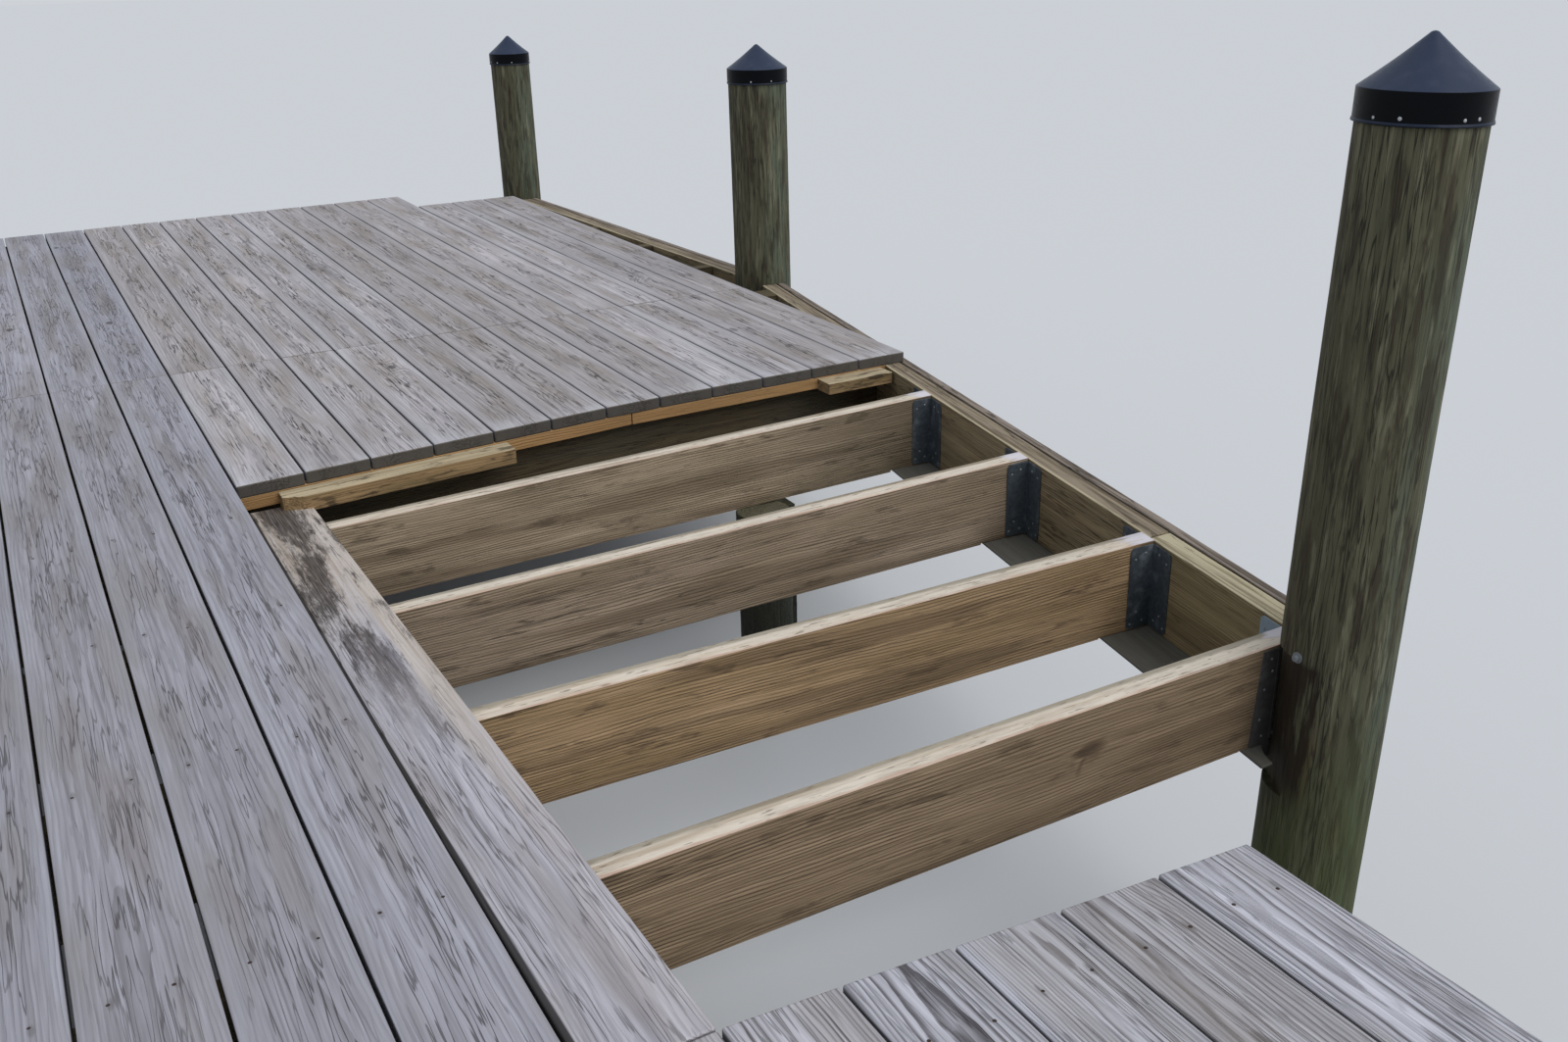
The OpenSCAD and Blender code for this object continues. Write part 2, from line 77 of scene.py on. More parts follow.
camera = bpy.data.objects.new("camera", bpy.data.cameras.new("camera"))
camera.data.lens = LENS_MM
camera.data.sensor_width = SENSOR_MM
camera.data.clip_start = 0.05
camera.data.clip_end = 300.0
camera.matrix_world = (
    Matrix.Translation(CAMERA_SPOT)
    @ Matrix.Rotation(-math.radians(HEADING), 4, "Z")
    @ Matrix.Rotation(math.radians(90 - DIP), 4, "X")
    @ Matrix.Rotation(-math.radians(ROLL), 4, "Z")
)
bpy.context.scene.collection.objects.link(camera)
bpy.context.scene.camera = camera
print("camera looks along", [round(v, 3) for v in camera.matrix_world.to_3x3() @ Vector((0, 0, -1))])

# %% [markdown]
# ## Two helpers for materials
# A colour is written as the hex value that a screen shows, and Blender wants it linear, so one function
# converts it. The second adds any node with its settings and links. Its inputs go in by order, or by name in
# one dictionary, and a node that is given as an input is linked by its first output. The short names after
# it stand for the nodes and settings that the materials use most, so a long recipe stays readable.

# %% Colour and node helpers
def linear(hex_colour):
    channels = [int(hex_colour[i : i + 2], 16) / 255 for i in (0, 2, 4)]
    return tuple(c / 12.92 if c <= 0.04045 else ((c + 0.055) / 1.055) ** 2.4 for c in channels) + (1.0,)


def add(tree, kind, *inputs, **settings):
    node = tree.nodes.new(kind)
    for key, value in settings.items():
        setattr(node, key, value)
    named = inputs[0] if inputs and isinstance(inputs[0], dict) else dict(enumerate(inputs))
    for key, value in named.items():
        value = value.outputs[0] if isinstance(value, bpy.types.Node) else value
        if isinstance(value, bpy.types.NodeSocket):
            tree.links.new(value, node.inputs[key])
        else:
            node.inputs[key].default_value = value
    return node


MATH, RAMP, MIX, NOISE = "ShaderNodeMath", "ShaderNodeMapRange", "ShaderNodeMix", "ShaderNodeTexNoise"
VECTOR, JOINED, APART = "ShaderNodeVectorMath", "ShaderNodeCombineXYZ", "ShaderNodeSeparateXYZ"
STORED, POSITION = "ShaderNodeAttribute", "ShaderNodeTexCoord"
BUMP, SHADER, OUTPUT = "ShaderNodeBump", "ShaderNodeBsdfPrincipled", "ShaderNodeOutputMaterial"
TIMES, PLUS, MINUS, OVER = [{"operation": word} for word in ("MULTIPLY", "ADD", "SUBTRACT", "DIVIDE")]
UNSIGNED, TIMES_PLUS = {"operation": "ABSOLUTE"}, {"operation": "MULTIPLY_ADD"}
SOFT, COLOURS = {"interpolation_type": "SMOOTHSTEP"}, {"data_type": "RGBA"}
print("mid grey is", [round(c, 3) for c in linear("808080")[:3]])

# %% [markdown]
# ## The studio
# The floor and the sky are plain and pale. A wide sun lamp, soft as an overcast sky, stands high on the
# water side, and the sky fills the rest. Together they light a level white sheet to just about white, so
# that each colour renders as it is written. Rays that come from the camera or from gloss see the backdrop.

# %% Build the floor and the lights
SKY_LIGHT = 0.62
SUN_LIGHT = 1.55
SUN_TILT, SUN_SPIN, SUN_WIDTH = 38.0, 24.0, 50.0
BACKDROP = linear("ced2d7")

world = bpy.data.worlds.new("pale_sky")
world.use_nodes = True
world.node_tree.nodes.clear()
rays = add(world.node_tree, "ShaderNodeLightPath")
seen = add(world.node_tree, MATH, rays.outputs["Is Camera Ray"], rays.outputs["Is Glossy Ray"],
           operation="MAXIMUM")
seen = add(world.node_tree, MATH, seen, rays.outputs["Is Transmission Ray"], operation="MAXIMUM")
sky = add(world.node_tree, "ShaderNodeBackground", {"Color": linear("eef2f8"), "Strength": SKY_LIGHT})
back = add(world.node_tree, "ShaderNodeBackground", {"Color": BACKDROP, "Strength": 1.0})
both = add(world.node_tree, "ShaderNodeMixShader", seen, sky, back)
add(world.node_tree, "ShaderNodeOutputWorld", {"Surface": both})
bpy.context.scene.world = world

sun = bpy.data.objects.new("overcast_sun", bpy.data.lights.new("overcast_sun", "SUN"))
sun.data.energy = SUN_LIGHT
sun.data.angle = math.radians(SUN_WIDTH)
sun.data.color = (1.0, 0.985, 0.96)
sun.rotation_euler = (math.radians(SUN_TILT), 0.0, math.radians(SUN_SPIN))
bpy.context.scene.collection.objects.link(sun)

FLOOR_HALF = 90.0
floor_mesh = bpy.data.meshes.new("floor")
signs = ((-1, -1), (1, -1), (1, 1), (-1, 1))
floor_mesh.from_pydata([(FLOOR_HALF * x, FLOOR_HALF * y, CAD_LOW.z) for x, y in signs], [], [(0, 1, 2, 3)])
floor = bpy.data.objects.new("floor", floor_mesh)
bpy.context.scene.collection.objects.link(floor)
floor_paint = bpy.data.materials.new("pale_studio_floor")
floor_paint.use_nodes = True
floor_paint.node_tree.nodes.clear()
paint = add(floor_paint.node_tree, "ShaderNodeBsdfDiffuse", {"Color": linear("d3d6da"), "Roughness": 0.0})
add(floor_paint.node_tree, OUTPUT, {"Surface": paint})
floor_mesh.materials.append(floor_paint)
floor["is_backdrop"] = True
bpy.context.scene.view_settings.view_transform = "Standard"
print("floor at", round(CAD_LOW.z, 4))

# %% [markdown]
# ## Cleaning a timber
# The construction arrives as loose triangles. Welding their corners and dissolving flat ones gives each
# timber back as a plain block with flat faces, which bevels well. Each block is an island of the mesh.

# %% Turn a node back into flat-faced blocks
WELD = 1e-5
FLAT_ANGLE = math.radians(1.0)


def flat_blocks(node):
    bm = bmesh.new()
    bm.from_mesh(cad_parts[node].data)
    bmesh.ops.remove_doubles(bm, verts=bm.verts[:], dist=WELD)
    bmesh.ops.dissolve_limit(bm, angle_limit=FLAT_ANGLE, verts=bm.verts[:], edges=bm.edges[:])
    return bm


def islands(bm):
    for v in bm.verts:
        v.tag = False
    found = []
    for start in bm.verts:
        if start.tag:
            continue
        start.tag = True
        group = [start]
        for v in group:
            for other in (e.other_vert(v) for e in v.link_edges):
                if not other.tag:
                    other.tag = True
                    group.append(other)
        found.append(group)
    return found


sample = flat_blocks("bank_deck")
print("bank deck:", len(islands(sample)), "boards,", len(sample.faces), "faces")
sample.free()

# %% [markdown]
# ## Finding the grain
# Wood grain runs along a timber, and the growth rings circle a pith that is usually outside it. So each
# block gets its own axes: along its longest edge, then its width and its thickness. The pith is placed
# beyond one wide face, by a random distance, and every corner stores its place seen from that pith. The
# shaders read it as the attribute grain, and the end of a board then shows the rings of its own faces.
# Two more attributes tell a finish how far a point is from the block's middle and from its two ends.

# %% Measure each block's own axes
PITH_DEPTH = (0.035, 0.085)
PITH_SIDE = 0.03
GRAIN_SHIFT = (0, 40)
NO_ROW = 9.0
UP = Vector((0, 0, 1))


def block_axes(group):
    edges = {e for v in group for e in v.link_edges}
    longest = max(edges, key=lambda e: (round(e.calc_length(), 4), -e.verts[0].co.z, e.verts[0].co.x))
    along = (longest.verts[1].co - longest.verts[0].co).normalized()
    if along.x + along.y + along.z < 0:
        along = -along
    up = UP if abs(along.z) < 0.9 else Vector((1, 0, 0))
    rise = (up - along * up.dot(along)).normalized()
    side = rise.cross(along)
    spans = []
    for axis in (along, side, rise):
        values = [v.co.dot(axis) for v in group]
        spans.append((min(values), max(values)))
    flat = spans[1][1] - spans[1][0] > spans[2][1] - spans[2][0]
    return {"axes": (along, side, rise), "spans": spans, "flat": flat}


def grain_block(block, rng, pith):
    aside = rng.uniform(*GRAIN_SHIFT), rng.uniform(-PITH_SIDE, PITH_SIDE), rng.uniform(*PITH_DEPTH)
    block["shift"] = Vector(aside)
    block["shift"] += Vector((0, *pith))
    block["board"] = rng.random()
    return block


def store_grain(bm, group, block, rows=()):
    grain, place, ends = [bm.verts.layers.float_vector[name] for name in ("grain", "place", "ends")]
    board, row = [bm.verts.layers.float[name] for name in ("board", "row")]
    for v in group:
        local = [v.co.dot(axis) - sum(span) / 2 for axis, span in zip(block["axes"], block["spans"])]
        half = [max((span[1] - span[0]) / 2, WELD) for span in block["spans"]]
        wide, thin = (local[1], local[2]) if block["flat"] else (local[2], local[1])
        v[grain] = Vector((local[0], wide, thin)) + block["shift"]
        v[place] = Vector([a / b for a, b in zip(local, half)])
        v[ends] = Vector((half[0] + local[0], half[0] - local[0], half[1]))
        v[board] = block["board"]
        v[row] = min([abs(v.co.y - y) for y in rows] or [NO_ROW])


print("the pith lies", PITH_DEPTH, "m beyond a face")

# %% [markdown]
# ## Worn edges and cross cuts
# A sawn board's edges are never sharp, so each is bevelled a few millimetres and only the bevel is shaded
# smooth. Then the block is cut across every few centimetres. The cuts give the next step vertices to move.
# A deck board is also cut at each joist row, so that its distance from the nearest row is exact.

# %% Bevel and cut the blocks
SHARP_ANGLE = math.radians(30)
EDGE_FACES, EDGE_ROUND = 3, 0.6
SAME_ROW = 0.1


def even_places(low, high, step):
    count = max(1, round((high - low) / step))
    return [low + (high - low) * i / count for i in range(1, count)]


def row_places(rows, low, high, step):
    stops = [low] + [y for a, b in zip(rows, rows[1:]) for y in (a, (a + b) / 2)] + [rows[-1], high]
    stops = sorted(y for y in stops if low <= y <= high)
    places = stops[1:-1]
    for a, b in zip(stops, stops[1:]):
        places += even_places(a, b, step)
    return sorted(places)


def cut_across(bm, axis, places):
    for place in places:
        whole = bm.verts[:] + bm.edges[:] + bm.faces[:]
        bmesh.ops.bisect_plane(bm, geom=whole, dist=WELD, plane_co=axis * place, plane_no=axis)


def worn_blocks(node, edge, step, seed, middle=False, rows=(), pith=(0, 0)):
    rng = random.Random(seed)
    bm = flat_blocks(node)
    for name in ("grain", "place", "ends"):
        bm.verts.layers.float_vector.new(name)
    for name in ("board", "row"):
        bm.verts.layers.float.new(name)
    groups = sorted(islands(bm), key=lambda g: [round(min(v.co[i] for v in g), 2) for i in (0, 1)])
    blocks = [grain_block(block_axes(g), rng, pith) for g in groups]
    sharp = [e for e in bm.edges if e.is_manifold and e.calc_face_angle(0) > SHARP_ANGLE]
    made = bmesh.ops.bevel(bm, geom=sharp, offset=edge, segments=EDGE_FACES, profile=EDGE_ROUND,
                           affect="EDGES", clamp_overlap=True)
    for face in made["faces"]:
        face.smooth = True
    along, side, _ = blocks[0]["axes"]
    low = min(b["spans"][0][0] for b in blocks)
    high = max(b["spans"][0][1] for b in blocks)
    cut_across(bm, along, row_places(rows, low, high, step) if rows else even_places(low, high, step))
    if middle:
        cut_across(bm, side, sorted({round(sum(b["spans"][1]) / 2, 3) for b in blocks}))
    for group in islands(bm):
        centre = Vector([(min(v.co[i] for v in group) + max(v.co[i] for v in group)) / 2 for i in range(3)])
        block = min(blocks, key=lambda b: sum(
            (centre.dot(axis) - sum(span) / 2) ** 2 for axis, span in zip(b["axes"], b["spans"])))
        store_grain(bm, group, block, rows)
    return bm, blocks


def joist_rows():
    found = []
    for node in ("near_joists", "bank_joists", "far_joists"):
        bm = flat_blocks(node)
        for group in islands(bm):
            found.append((min(v.co.y for v in group) + max(v.co.y for v in group)) / 2)
        bm.free()
    rows = []
    for y in sorted(found):
        if rows and y - rows[-1] < SAME_ROW:
            rows[-1] = (rows[-1] + y) / 2
        else:
            rows.append(y)
    return rows


ROWS = joist_rows()
print("joist rows at", [round(y, 3) for y in ROWS])

# %% [markdown]
# ## Weathering by Geometry Nodes
# Rain and sun move a timber's surface a little: it warps along its length, and its faces and edges go
# uneven. That is a rule, not a shape, so a node tree does it to every timber. Noise that is stretched
# along the stored grain pushes each point: one wave about 0.9 m long warps the timber, and ripples 110 mm
# long and 14 mm wide wear its faces. The last nodes realise the mesh and set its material.

# %% Build the weathering tree
WARP_STRETCH, WEAR_STRETCH = (1.1, 0.3, 0.3), (9.0, 70.0, 70.0)
HALF = (0.5, 0.5, 0.5)


def weathering_tree():
    tree = bpy.data.node_groups.new("weather_timber", "GeometryNodeTree")
    face = tree.interface
    face.new_socket("Geometry", in_out="INPUT", socket_type="NodeSocketGeometry")
    for name, value in (("Wear", 0.0012), ("Warp", 0.002), ("Seed", 1.0)):
        face.new_socket(name, in_out="INPUT", socket_type="NodeSocketFloat").default_value = value
    face.new_socket("Material", in_out="INPUT", socket_type="NodeSocketMaterial")
    face.new_socket("Geometry", in_out="OUTPUT", socket_type="NodeSocketGeometry")
    given = add(tree, "NodeGroupInput").outputs
    grain = add(tree, "GeometryNodeInputNamedAttribute", {"Name": "grain"},
                data_type="FLOAT_VECTOR").outputs[0]
    offsets = []
    for stretch, amount, detail in ((WARP_STRETCH, "Warp", 0.0), (WEAR_STRETCH, "Wear", 3.0)):
        scaled = add(tree, VECTOR, grain, stretch, **TIMES)
        cloud = add(tree, NOISE, {"Vector": scaled, "W": given["Seed"], "Scale": 1.0, "Detail": detail},
                    noise_dimensions="4D")
        centred = add(tree, VECTOR, cloud.outputs["Color"], HALF, **MINUS)
        offsets.append(add(tree, VECTOR, {0: centred, "Scale": given[amount]}, operation="SCALE"))
    total = add(tree, VECTOR, *offsets, **PLUS)
    moved = add(tree, "GeometryNodeSetPosition", {"Geometry": given["Geometry"], "Offset": total})
    real = add(tree, "GeometryNodeRealizeInstances", {"Geometry": moved})
    dressed = add(tree, "GeometryNodeSetMaterial", {"Geometry": real, "Material": given["Material"]})
    add(tree, "NodeGroupOutput", {"Geometry": dressed})
    return tree


WEATHERING = weathering_tree()
print("weathering tree:", len(WEATHERING.nodes), "nodes")

# %% [markdown]
# ## From a modifier to a plain mesh
# A modifier's inputs are set by their identifiers before it is first evaluated. The result is then copied
# into a plain mesh and the modifier removed, so that the piece stands by itself.

# %% Helpers that run a tree and keep its result
def run_tree(piece, tree, **inputs):
    modifier = piece.modifiers.new(tree.name, "NODES")
    modifier.node_group = tree
    sockets = {s.name: s.identifier for s in tree.interface.items_tree
               if s.item_type == "SOCKET" and s.in_out == "INPUT"}
    for name, value in inputs.items():
        modifier[sockets[name]] = value
    keep_result(piece)


def keep_result(piece):
    depsgraph = bpy.context.evaluated_depsgraph_get()
    result = bpy.data.meshes.new_from_object(
        piece.evaluated_get(depsgraph), preserve_all_data_layers=True, depsgraph=depsgraph)
    piece.modifiers.clear()
    old = piece.data
    piece.data = result
    bpy.data.meshes.remove(old)
    result.name = piece.name


def new_piece(name, bm):
    mesh = bpy.data.meshes.new(name)
    bm.to_mesh(mesh)
    bm.free()
    piece = bpy.data.objects.new(name, mesh)
    bpy.context.scene.collection.objects.link(piece)
    return piece


def hand_over(piece, slot, *nodes):
    for v in piece.data.vertices:
        v.co = [min(max(c, low), high) for c, low, high in zip(v.co, CAD_LOW, CAD_HIGH)]
    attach(piece, "root")
    if nodes:
        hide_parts(*nodes)
    piece.data.calc_loop_triangles()
    print(piece.name, len(piece.data.loop_triangles), "triangles")


print("each finished piece is also kept inside the construction's own box")

# %% [markdown]
# ## The wood recipe
# All the timbers share one recipe, with other numbers for each. Growth rings are circles round the pith,
# bent a little by noise, and each has its own strength. Fine fibres and broader streaks follow them. Short
# checks and a few long cracks open along the grain, knots push the rings aside and patches change the tone.
# A stretch is written in repeats per metre along, across and through the grain: (9, 300, 300) gives fibres
# 110 mm long and 3.3 mm wide. Real fibres are far finer, so these are drawn as coarse as they need to show.

# %% Write the shared wood recipe
def wood_recipe(name, early, late, patch, dark, ring_mm=5.0, ring_depth=0.55, streak=0.35, checks=0.7,
                cracks=0.6, knots=0.5, patch_amount=0.4, spread=0.2, inner=9.0):
    material = bpy.data.materials.new(name)
    material.use_nodes = True
    tree = material.node_tree
    tree.nodes.clear()
    grain = add(tree, STORED, attribute_name="grain").outputs["Vector"]
    board = add(tree, STORED, attribute_name="board").outputs["Fac"]
    wood = {"material": material, "tree": tree, "board": board}

    def noise_at(stretch, detail, output="Fac", rough=0.5):
        at = add(tree, VECTOR, grain, stretch, **TIMES)
        return add(tree, NOISE, {"Vector": at, "Scale": 1.0, "Detail": detail,
                                 "Roughness": rough}).outputs[output]

    def axes_of(attribute):
        return add(tree, APART, add(tree, STORED, attribute_name=attribute).outputs["Vector"]).outputs

    def tint(amount, hex_colour, strength=None):
        amount = amount if strength is None else add(tree, MATH, amount, strength, **TIMES)
        wood["colour"] = add(tree, MIX, {0: amount, 6: wood["colour"], 7: linear(hex_colour)},
                             **COLOURS).outputs[2]

    wood.update(noise_at=noise_at, tint=tint)
    along, across, deep = axes_of("grain")
    place = axes_of("place")
    coordinates = add(tree, POSITION).outputs
    facing = add(tree, APART, coordinates["Normal"]).outputs
    spot = add(tree, APART, coordinates["Object"]).outputs
    wood.update(place=place, ends=axes_of("ends"), facing=facing, spot=spot)

    # A knot lies in some of the cells, which are 450 mm long and 200 mm wide.
    cells = add(tree, VECTOR, grain, (2.2, 5.0, 5.0), **TIMES)
    cell = add(tree, "ShaderNodeTexVoronoi", {"Vector": cells, "Scale": 1.0, "Randomness": 1.0})
    chosen = add(tree, "ShaderNodeSeparateColor", {0: cell.outputs["Color"]}).outputs[0]
    has_knot = add(tree, MATH, chosen, knots * 0.5, operation="LESS_THAN")
    near_knot = add(tree, MATH, add(tree, RAMP, cell.outputs["Distance"], 0.0, 0.35, 1.0, 0.0, **SOFT),
                    has_knot, **TIMES)
    knot = add(tree, MATH, add(tree, RAMP, cell.outputs["Distance"], 0.045, 0.075, 1.0, 0.0, **SOFT),
               has_knot, **TIMES)

    # The rings bend in waves 0.8 m long, by up to 25 mm across the board and 15 mm through it.
    bend = noise_at((1.3, 7.0, 7.0), 2.0, "Color")
    bends = add(tree, APART, add(tree, VECTOR, bend, HALF, **MINUS)).outputs
    wide = add(tree, MATH, bends[1], 0.05, across, **TIMES_PLUS)
    thick = add(tree, MATH, bends[2], 0.03, deep, **TIMES_PLUS)
    squares = add(tree, MATH, wide, wide, **TIMES), add(tree, MATH, thick, thick, **TIMES)
    radius = add(tree, MATH, add(tree, MATH, *squares, **PLUS), operation="SQRT")
    radius = add(tree, MATH, along, 0.006, radius, **TIMES_PLUS)
    radius = add(tree, MATH, near_knot, 0.022, radius, **TIMES_PLUS)
    fibres = noise_at((9.0, 300.0, 300.0), 3.0)
    wobble = noise_at((16.0, 60.0, 60.0), 1.0)
    radius = add(tree, MATH, fibres, 0.0011, radius, **TIMES_PLUS)
    radius = add(tree, MATH, wobble, 0.0022, radius, **TIMES_PLUS)
    turns = add(tree, MATH, radius, 1000.0 / ring_mm, **TIMES)
    count = add(tree, JOINED, add(tree, MATH, turns, operation="FLOOR"),
                add(tree, MATH, board, 97.0, **TIMES))
    strength = add(tree, "ShaderNodeTexWhiteNoise", {"Vector": count},
                   noise_dimensions="2D").outputs["Value"]
    turns = add(tree, MATH, turns, operation="FRACT")
    ring = add(tree, MATH, add(tree, RAMP, turns, 0.35, 0.86, **SOFT),
               add(tree, RAMP, turns, 0.92, 1.0, 1.0, 0.0, **SOFT), **TIMES)
    ring = add(tree, MATH, ring, add(tree, RAMP, strength, 0.0, 1.0, 0.3, 1.0, **SOFT), **TIMES)

    # Streaks are 16 mm wide. Short checks are 300 mm by 13 mm at most, and long cracks run on for a metre.
    streaks = noise_at((1.7, 62.0, 62.0), 3.0)
    out = add(tree, MATH, place[1], **UNSIGNED)
    inside = add(tree, RAMP, out, inner - 0.3, inner + 0.15, 1.0, 0.0, **SOFT)
    net = add(tree, MATH, add(tree, MATH, noise_at((3.4, 78.0, 78.0), 2.0), 0.5, **MINUS), **UNSIGNED)
    where = add(tree, RAMP, noise_at((3.0, 16.0, 16.0), 3.0), 0.34, 0.6, 0.1, 1.0, **SOFT)
    short = add(tree, MATH, add(tree, RAMP, net, 0.004, 0.028, 1.0, 0.0, **SOFT), where, **TIMES)
    short = add(tree, MATH, add(tree, MATH, short, checks, **TIMES), inside, **TIMES)
    gap = add(tree, MATH, add(tree, MATH, noise_at((1.0, 34.0, 34.0), 3.0), 0.5, **MINUS), **UNSIGNED)
    long = add(tree, MATH, add(tree, RAMP, gap, 0.002, 0.009, 1.0, 0.0, **SOFT),
               add(tree, RAMP, noise_at((1.6, 9.0, 9.0), 1.0), 0.5, 0.6, **SOFT), **TIMES)
    long = add(tree, MATH, add(tree, MATH, long, cracks, **TIMES), inside, **TIMES)
    opened = add(tree, MATH, short, long, operation="MAXIMUM")

    streaky = add(tree, MATH, add(tree, RAMP, streaks, 0.3, 0.7, **SOFT), streak, **TIMES)
    mix = add(tree, MATH, ring, ring_depth, streaky, **TIMES_PLUS, use_clamp=True)
    wood["colour"] = add(tree, MIX, {0: mix, 6: linear(early), 7: linear(late)}, **COLOURS).outputs[2]
    tint(add(tree, RAMP, noise_at((2.0, 13.0, 13.0), 4.0), 0.44, 0.66, **SOFT), patch, patch_amount)
    tone = add(tree, RAMP, board, 0.0, 1.0, 1.0 - spread / 2, 1.0 + spread / 2)
    tone = add(tree, MATH, tone, add(tree, RAMP, fibres, 0.25, 0.75, 0.88, 1.12, **SOFT), **TIMES)
    lighter = add(tree, RAMP, noise_at((0.9, 2.5, 2.5), 1.0), 0.3, 0.7, 0.93, 1.07, **SOFT)
    tone = add(tree, MATH, tone, lighter, **TIMES)
    wood["colour"] = add(tree, VECTOR, wood["colour"], add(tree, JOINED, tone, tone, tone), **TIMES)
    tint(knot, dark, 0.75)
    tint(opened, dark)
    height = add(tree, MATH, opened, -2.0, add(tree, MATH, ring, -0.6, **TIMES), **TIMES_PLUS)
    height = add(tree, MATH, streaks, 0.6, height, **TIMES_PLUS)
    height = add(tree, MATH, fibres, 0.5, height, **TIMES_PLUS)
    wood.update(height=height, fibres=fibres, streaks=streaks, opened=opened, wobble=wobble, wide=wide)
    return wood


SATIN = 0.3


def finish_wood(wood, roughness, bump_mm):
    tree = wood["tree"]
    bump = add(tree, BUMP, {"Height": wood["height"], "Strength": 1.0, "Distance": bump_mm / 1000})
    surface = add(tree, SHADER, {"Base Color": wood["colour"], "Roughness": roughness,
                                 "Specular IOR Level": SATIN, "Normal": bump})
    add(tree, OUTPUT, {"Surface": surface})
    return wood["material"]


print("the recipe makes rings, fibres, streaks, checks, long cracks, knots and patches")

# %% [markdown]
# ## The finishes of the decks
# The deck is softwood that sun and rain have turned silver grey with a lilac cast. Dark checks gather in
# the middle of each board, its edges are smoother and bluer, and water has stained the wood round the nails.
# The near boards are older and ribbed, the bank boards finer. Sawn ends are darker, and every face that
# doesn't look up, in the gaps and at the ends, carries painted shade. Beside the open bay the ends have
# bleached for 140 mm. A nail's stain is 15 mm long each way and 5.5 mm to its sides.

# %% Deck finishes
NAIL_OFF = 0.045
DECK_HALF = 0.092
STAIN_LONG, STAIN_WIDE = 0.015, 0.0055


def deck_finish(name, early, late, patch, ring_mm, ring_depth, checks, edge_light, bump_mm, inner, spread,
                patches, browning):
    wood = wood_recipe(name, early, late, patch, "3a373b", ring_mm=ring_mm, ring_depth=ring_depth,
                       streak=0.4, checks=checks, cracks=0.75, knots=0.4, patch_amount=patches,
                       spread=spread, inner=inner)
    tree, tint = wood["tree"], wood["tint"]
    out = add(tree, MATH, wood["place"][1], **UNSIGNED)
    tint(add(tree, RAMP, out, 0.5, 1.0, **SOFT), "adb0bb", edge_light)
    row = add(tree, STORED, attribute_name="row").outputs["Fac"]
    along = add(tree, MATH, row, STAIN_LONG, **OVER)
    from_nail = add(tree, MATH, add(tree, MATH, out, DECK_HALF, **TIMES), NAIL_OFF, **MINUS)
    across = add(tree, MATH, from_nail, STAIN_WIDE, **OVER)
    squares = add(tree, MATH, along, along, **TIMES), add(tree, MATH, across, across, **TIMES)
    far = add(tree, MATH, add(tree, MATH, *squares, **PLUS), operation="SQRT")
    stain = add(tree, MATH, add(tree, RAMP, far, 0.45, 1.3, 1.0, 0.0, **SOFT),
                add(tree, RAMP, wood["facing"][2], 0.5, 0.8, **SOFT), **TIMES)
    tint(stain, "3b3734", 0.35)
    brown = add(tree, MATH, add(tree, MATH, wood["board"], 7.3, **TIMES), operation="FRACT")
    tint(brown, "83796f", browning)
    lip = add(tree, MATH, wood["ends"][0], wood["ends"][1], operation="MINIMUM")
    bare = add(tree, RAMP, wood["noise_at"]((7.0, 20.0, 20.0), 3.0), 0.38, 0.6, **SOFT)
    bare = add(tree, MATH, add(tree, RAMP, lip, 0.0, 0.14, 1.0, 0.0, **SOFT), bare, **TIMES)
    by_bay = add(tree, MATH, add(tree, RAMP, wood["spot"][1], 0.4, 0.5, **SOFT),
                 add(tree, RAMP, wood["spot"][1], 1.0, 1.2, 1.0, 0.0, **SOFT), **TIMES)
    bare = add(tree, MATH, bare, by_bay, **TIMES)
    tint(bare, "c3c5cc", 0.5)
    sawn = add(tree, RAMP, add(tree, MATH, wood["facing"][1], **UNSIGNED), 0.5, 0.8, **SOFT)
    tint(sawn, "6b645b", 0.9)
    # Painted shade: every face that doesn't look up, the sides in the gaps and the sawn ends, is darkened.
    tint(add(tree, RAMP, wood["facing"][2], 0.1, 0.55, 1.0, 0.0, **SOFT), "2a2926", 0.6)
    return finish_wood(wood, roughness=0.74, bump_mm=bump_mm)


BANK_WOOD = deck_finish("silvered_softwood_fine", "a9aab6", "6e6c75", "837d7c", ring_mm=6.5, ring_depth=0.4,
                        checks=0.75, edge_light=0.25, bump_mm=0.9, inner=0.8, spread=0.18, patches=0.5,
                        browning=0.12)
NEAR_WOOD = deck_finish("silvered_softwood_ribbed", "c6c7d2", "5a585f", "8f8a86", ring_mm=5.5,
                        ring_depth=0.85, checks=0.5, edge_light=0.15, bump_mm=1.4, inner=1.2, spread=0.2,
                        patches=0.4, browning=0.3)
FAR_WOOD = deck_finish("silvered_softwood_old", "bdbabf", "6c696e", "8f8680", ring_mm=6.0, ring_depth=0.5,
                       checks=1.0, edge_light=0.3, bump_mm=1.1, inner=0.65, spread=0.2, patches=0.55,
                       browning=0.25)
print("deck finishes:", BANK_WOOD.name, NEAR_WOOD.name, FAR_WOOD.name)
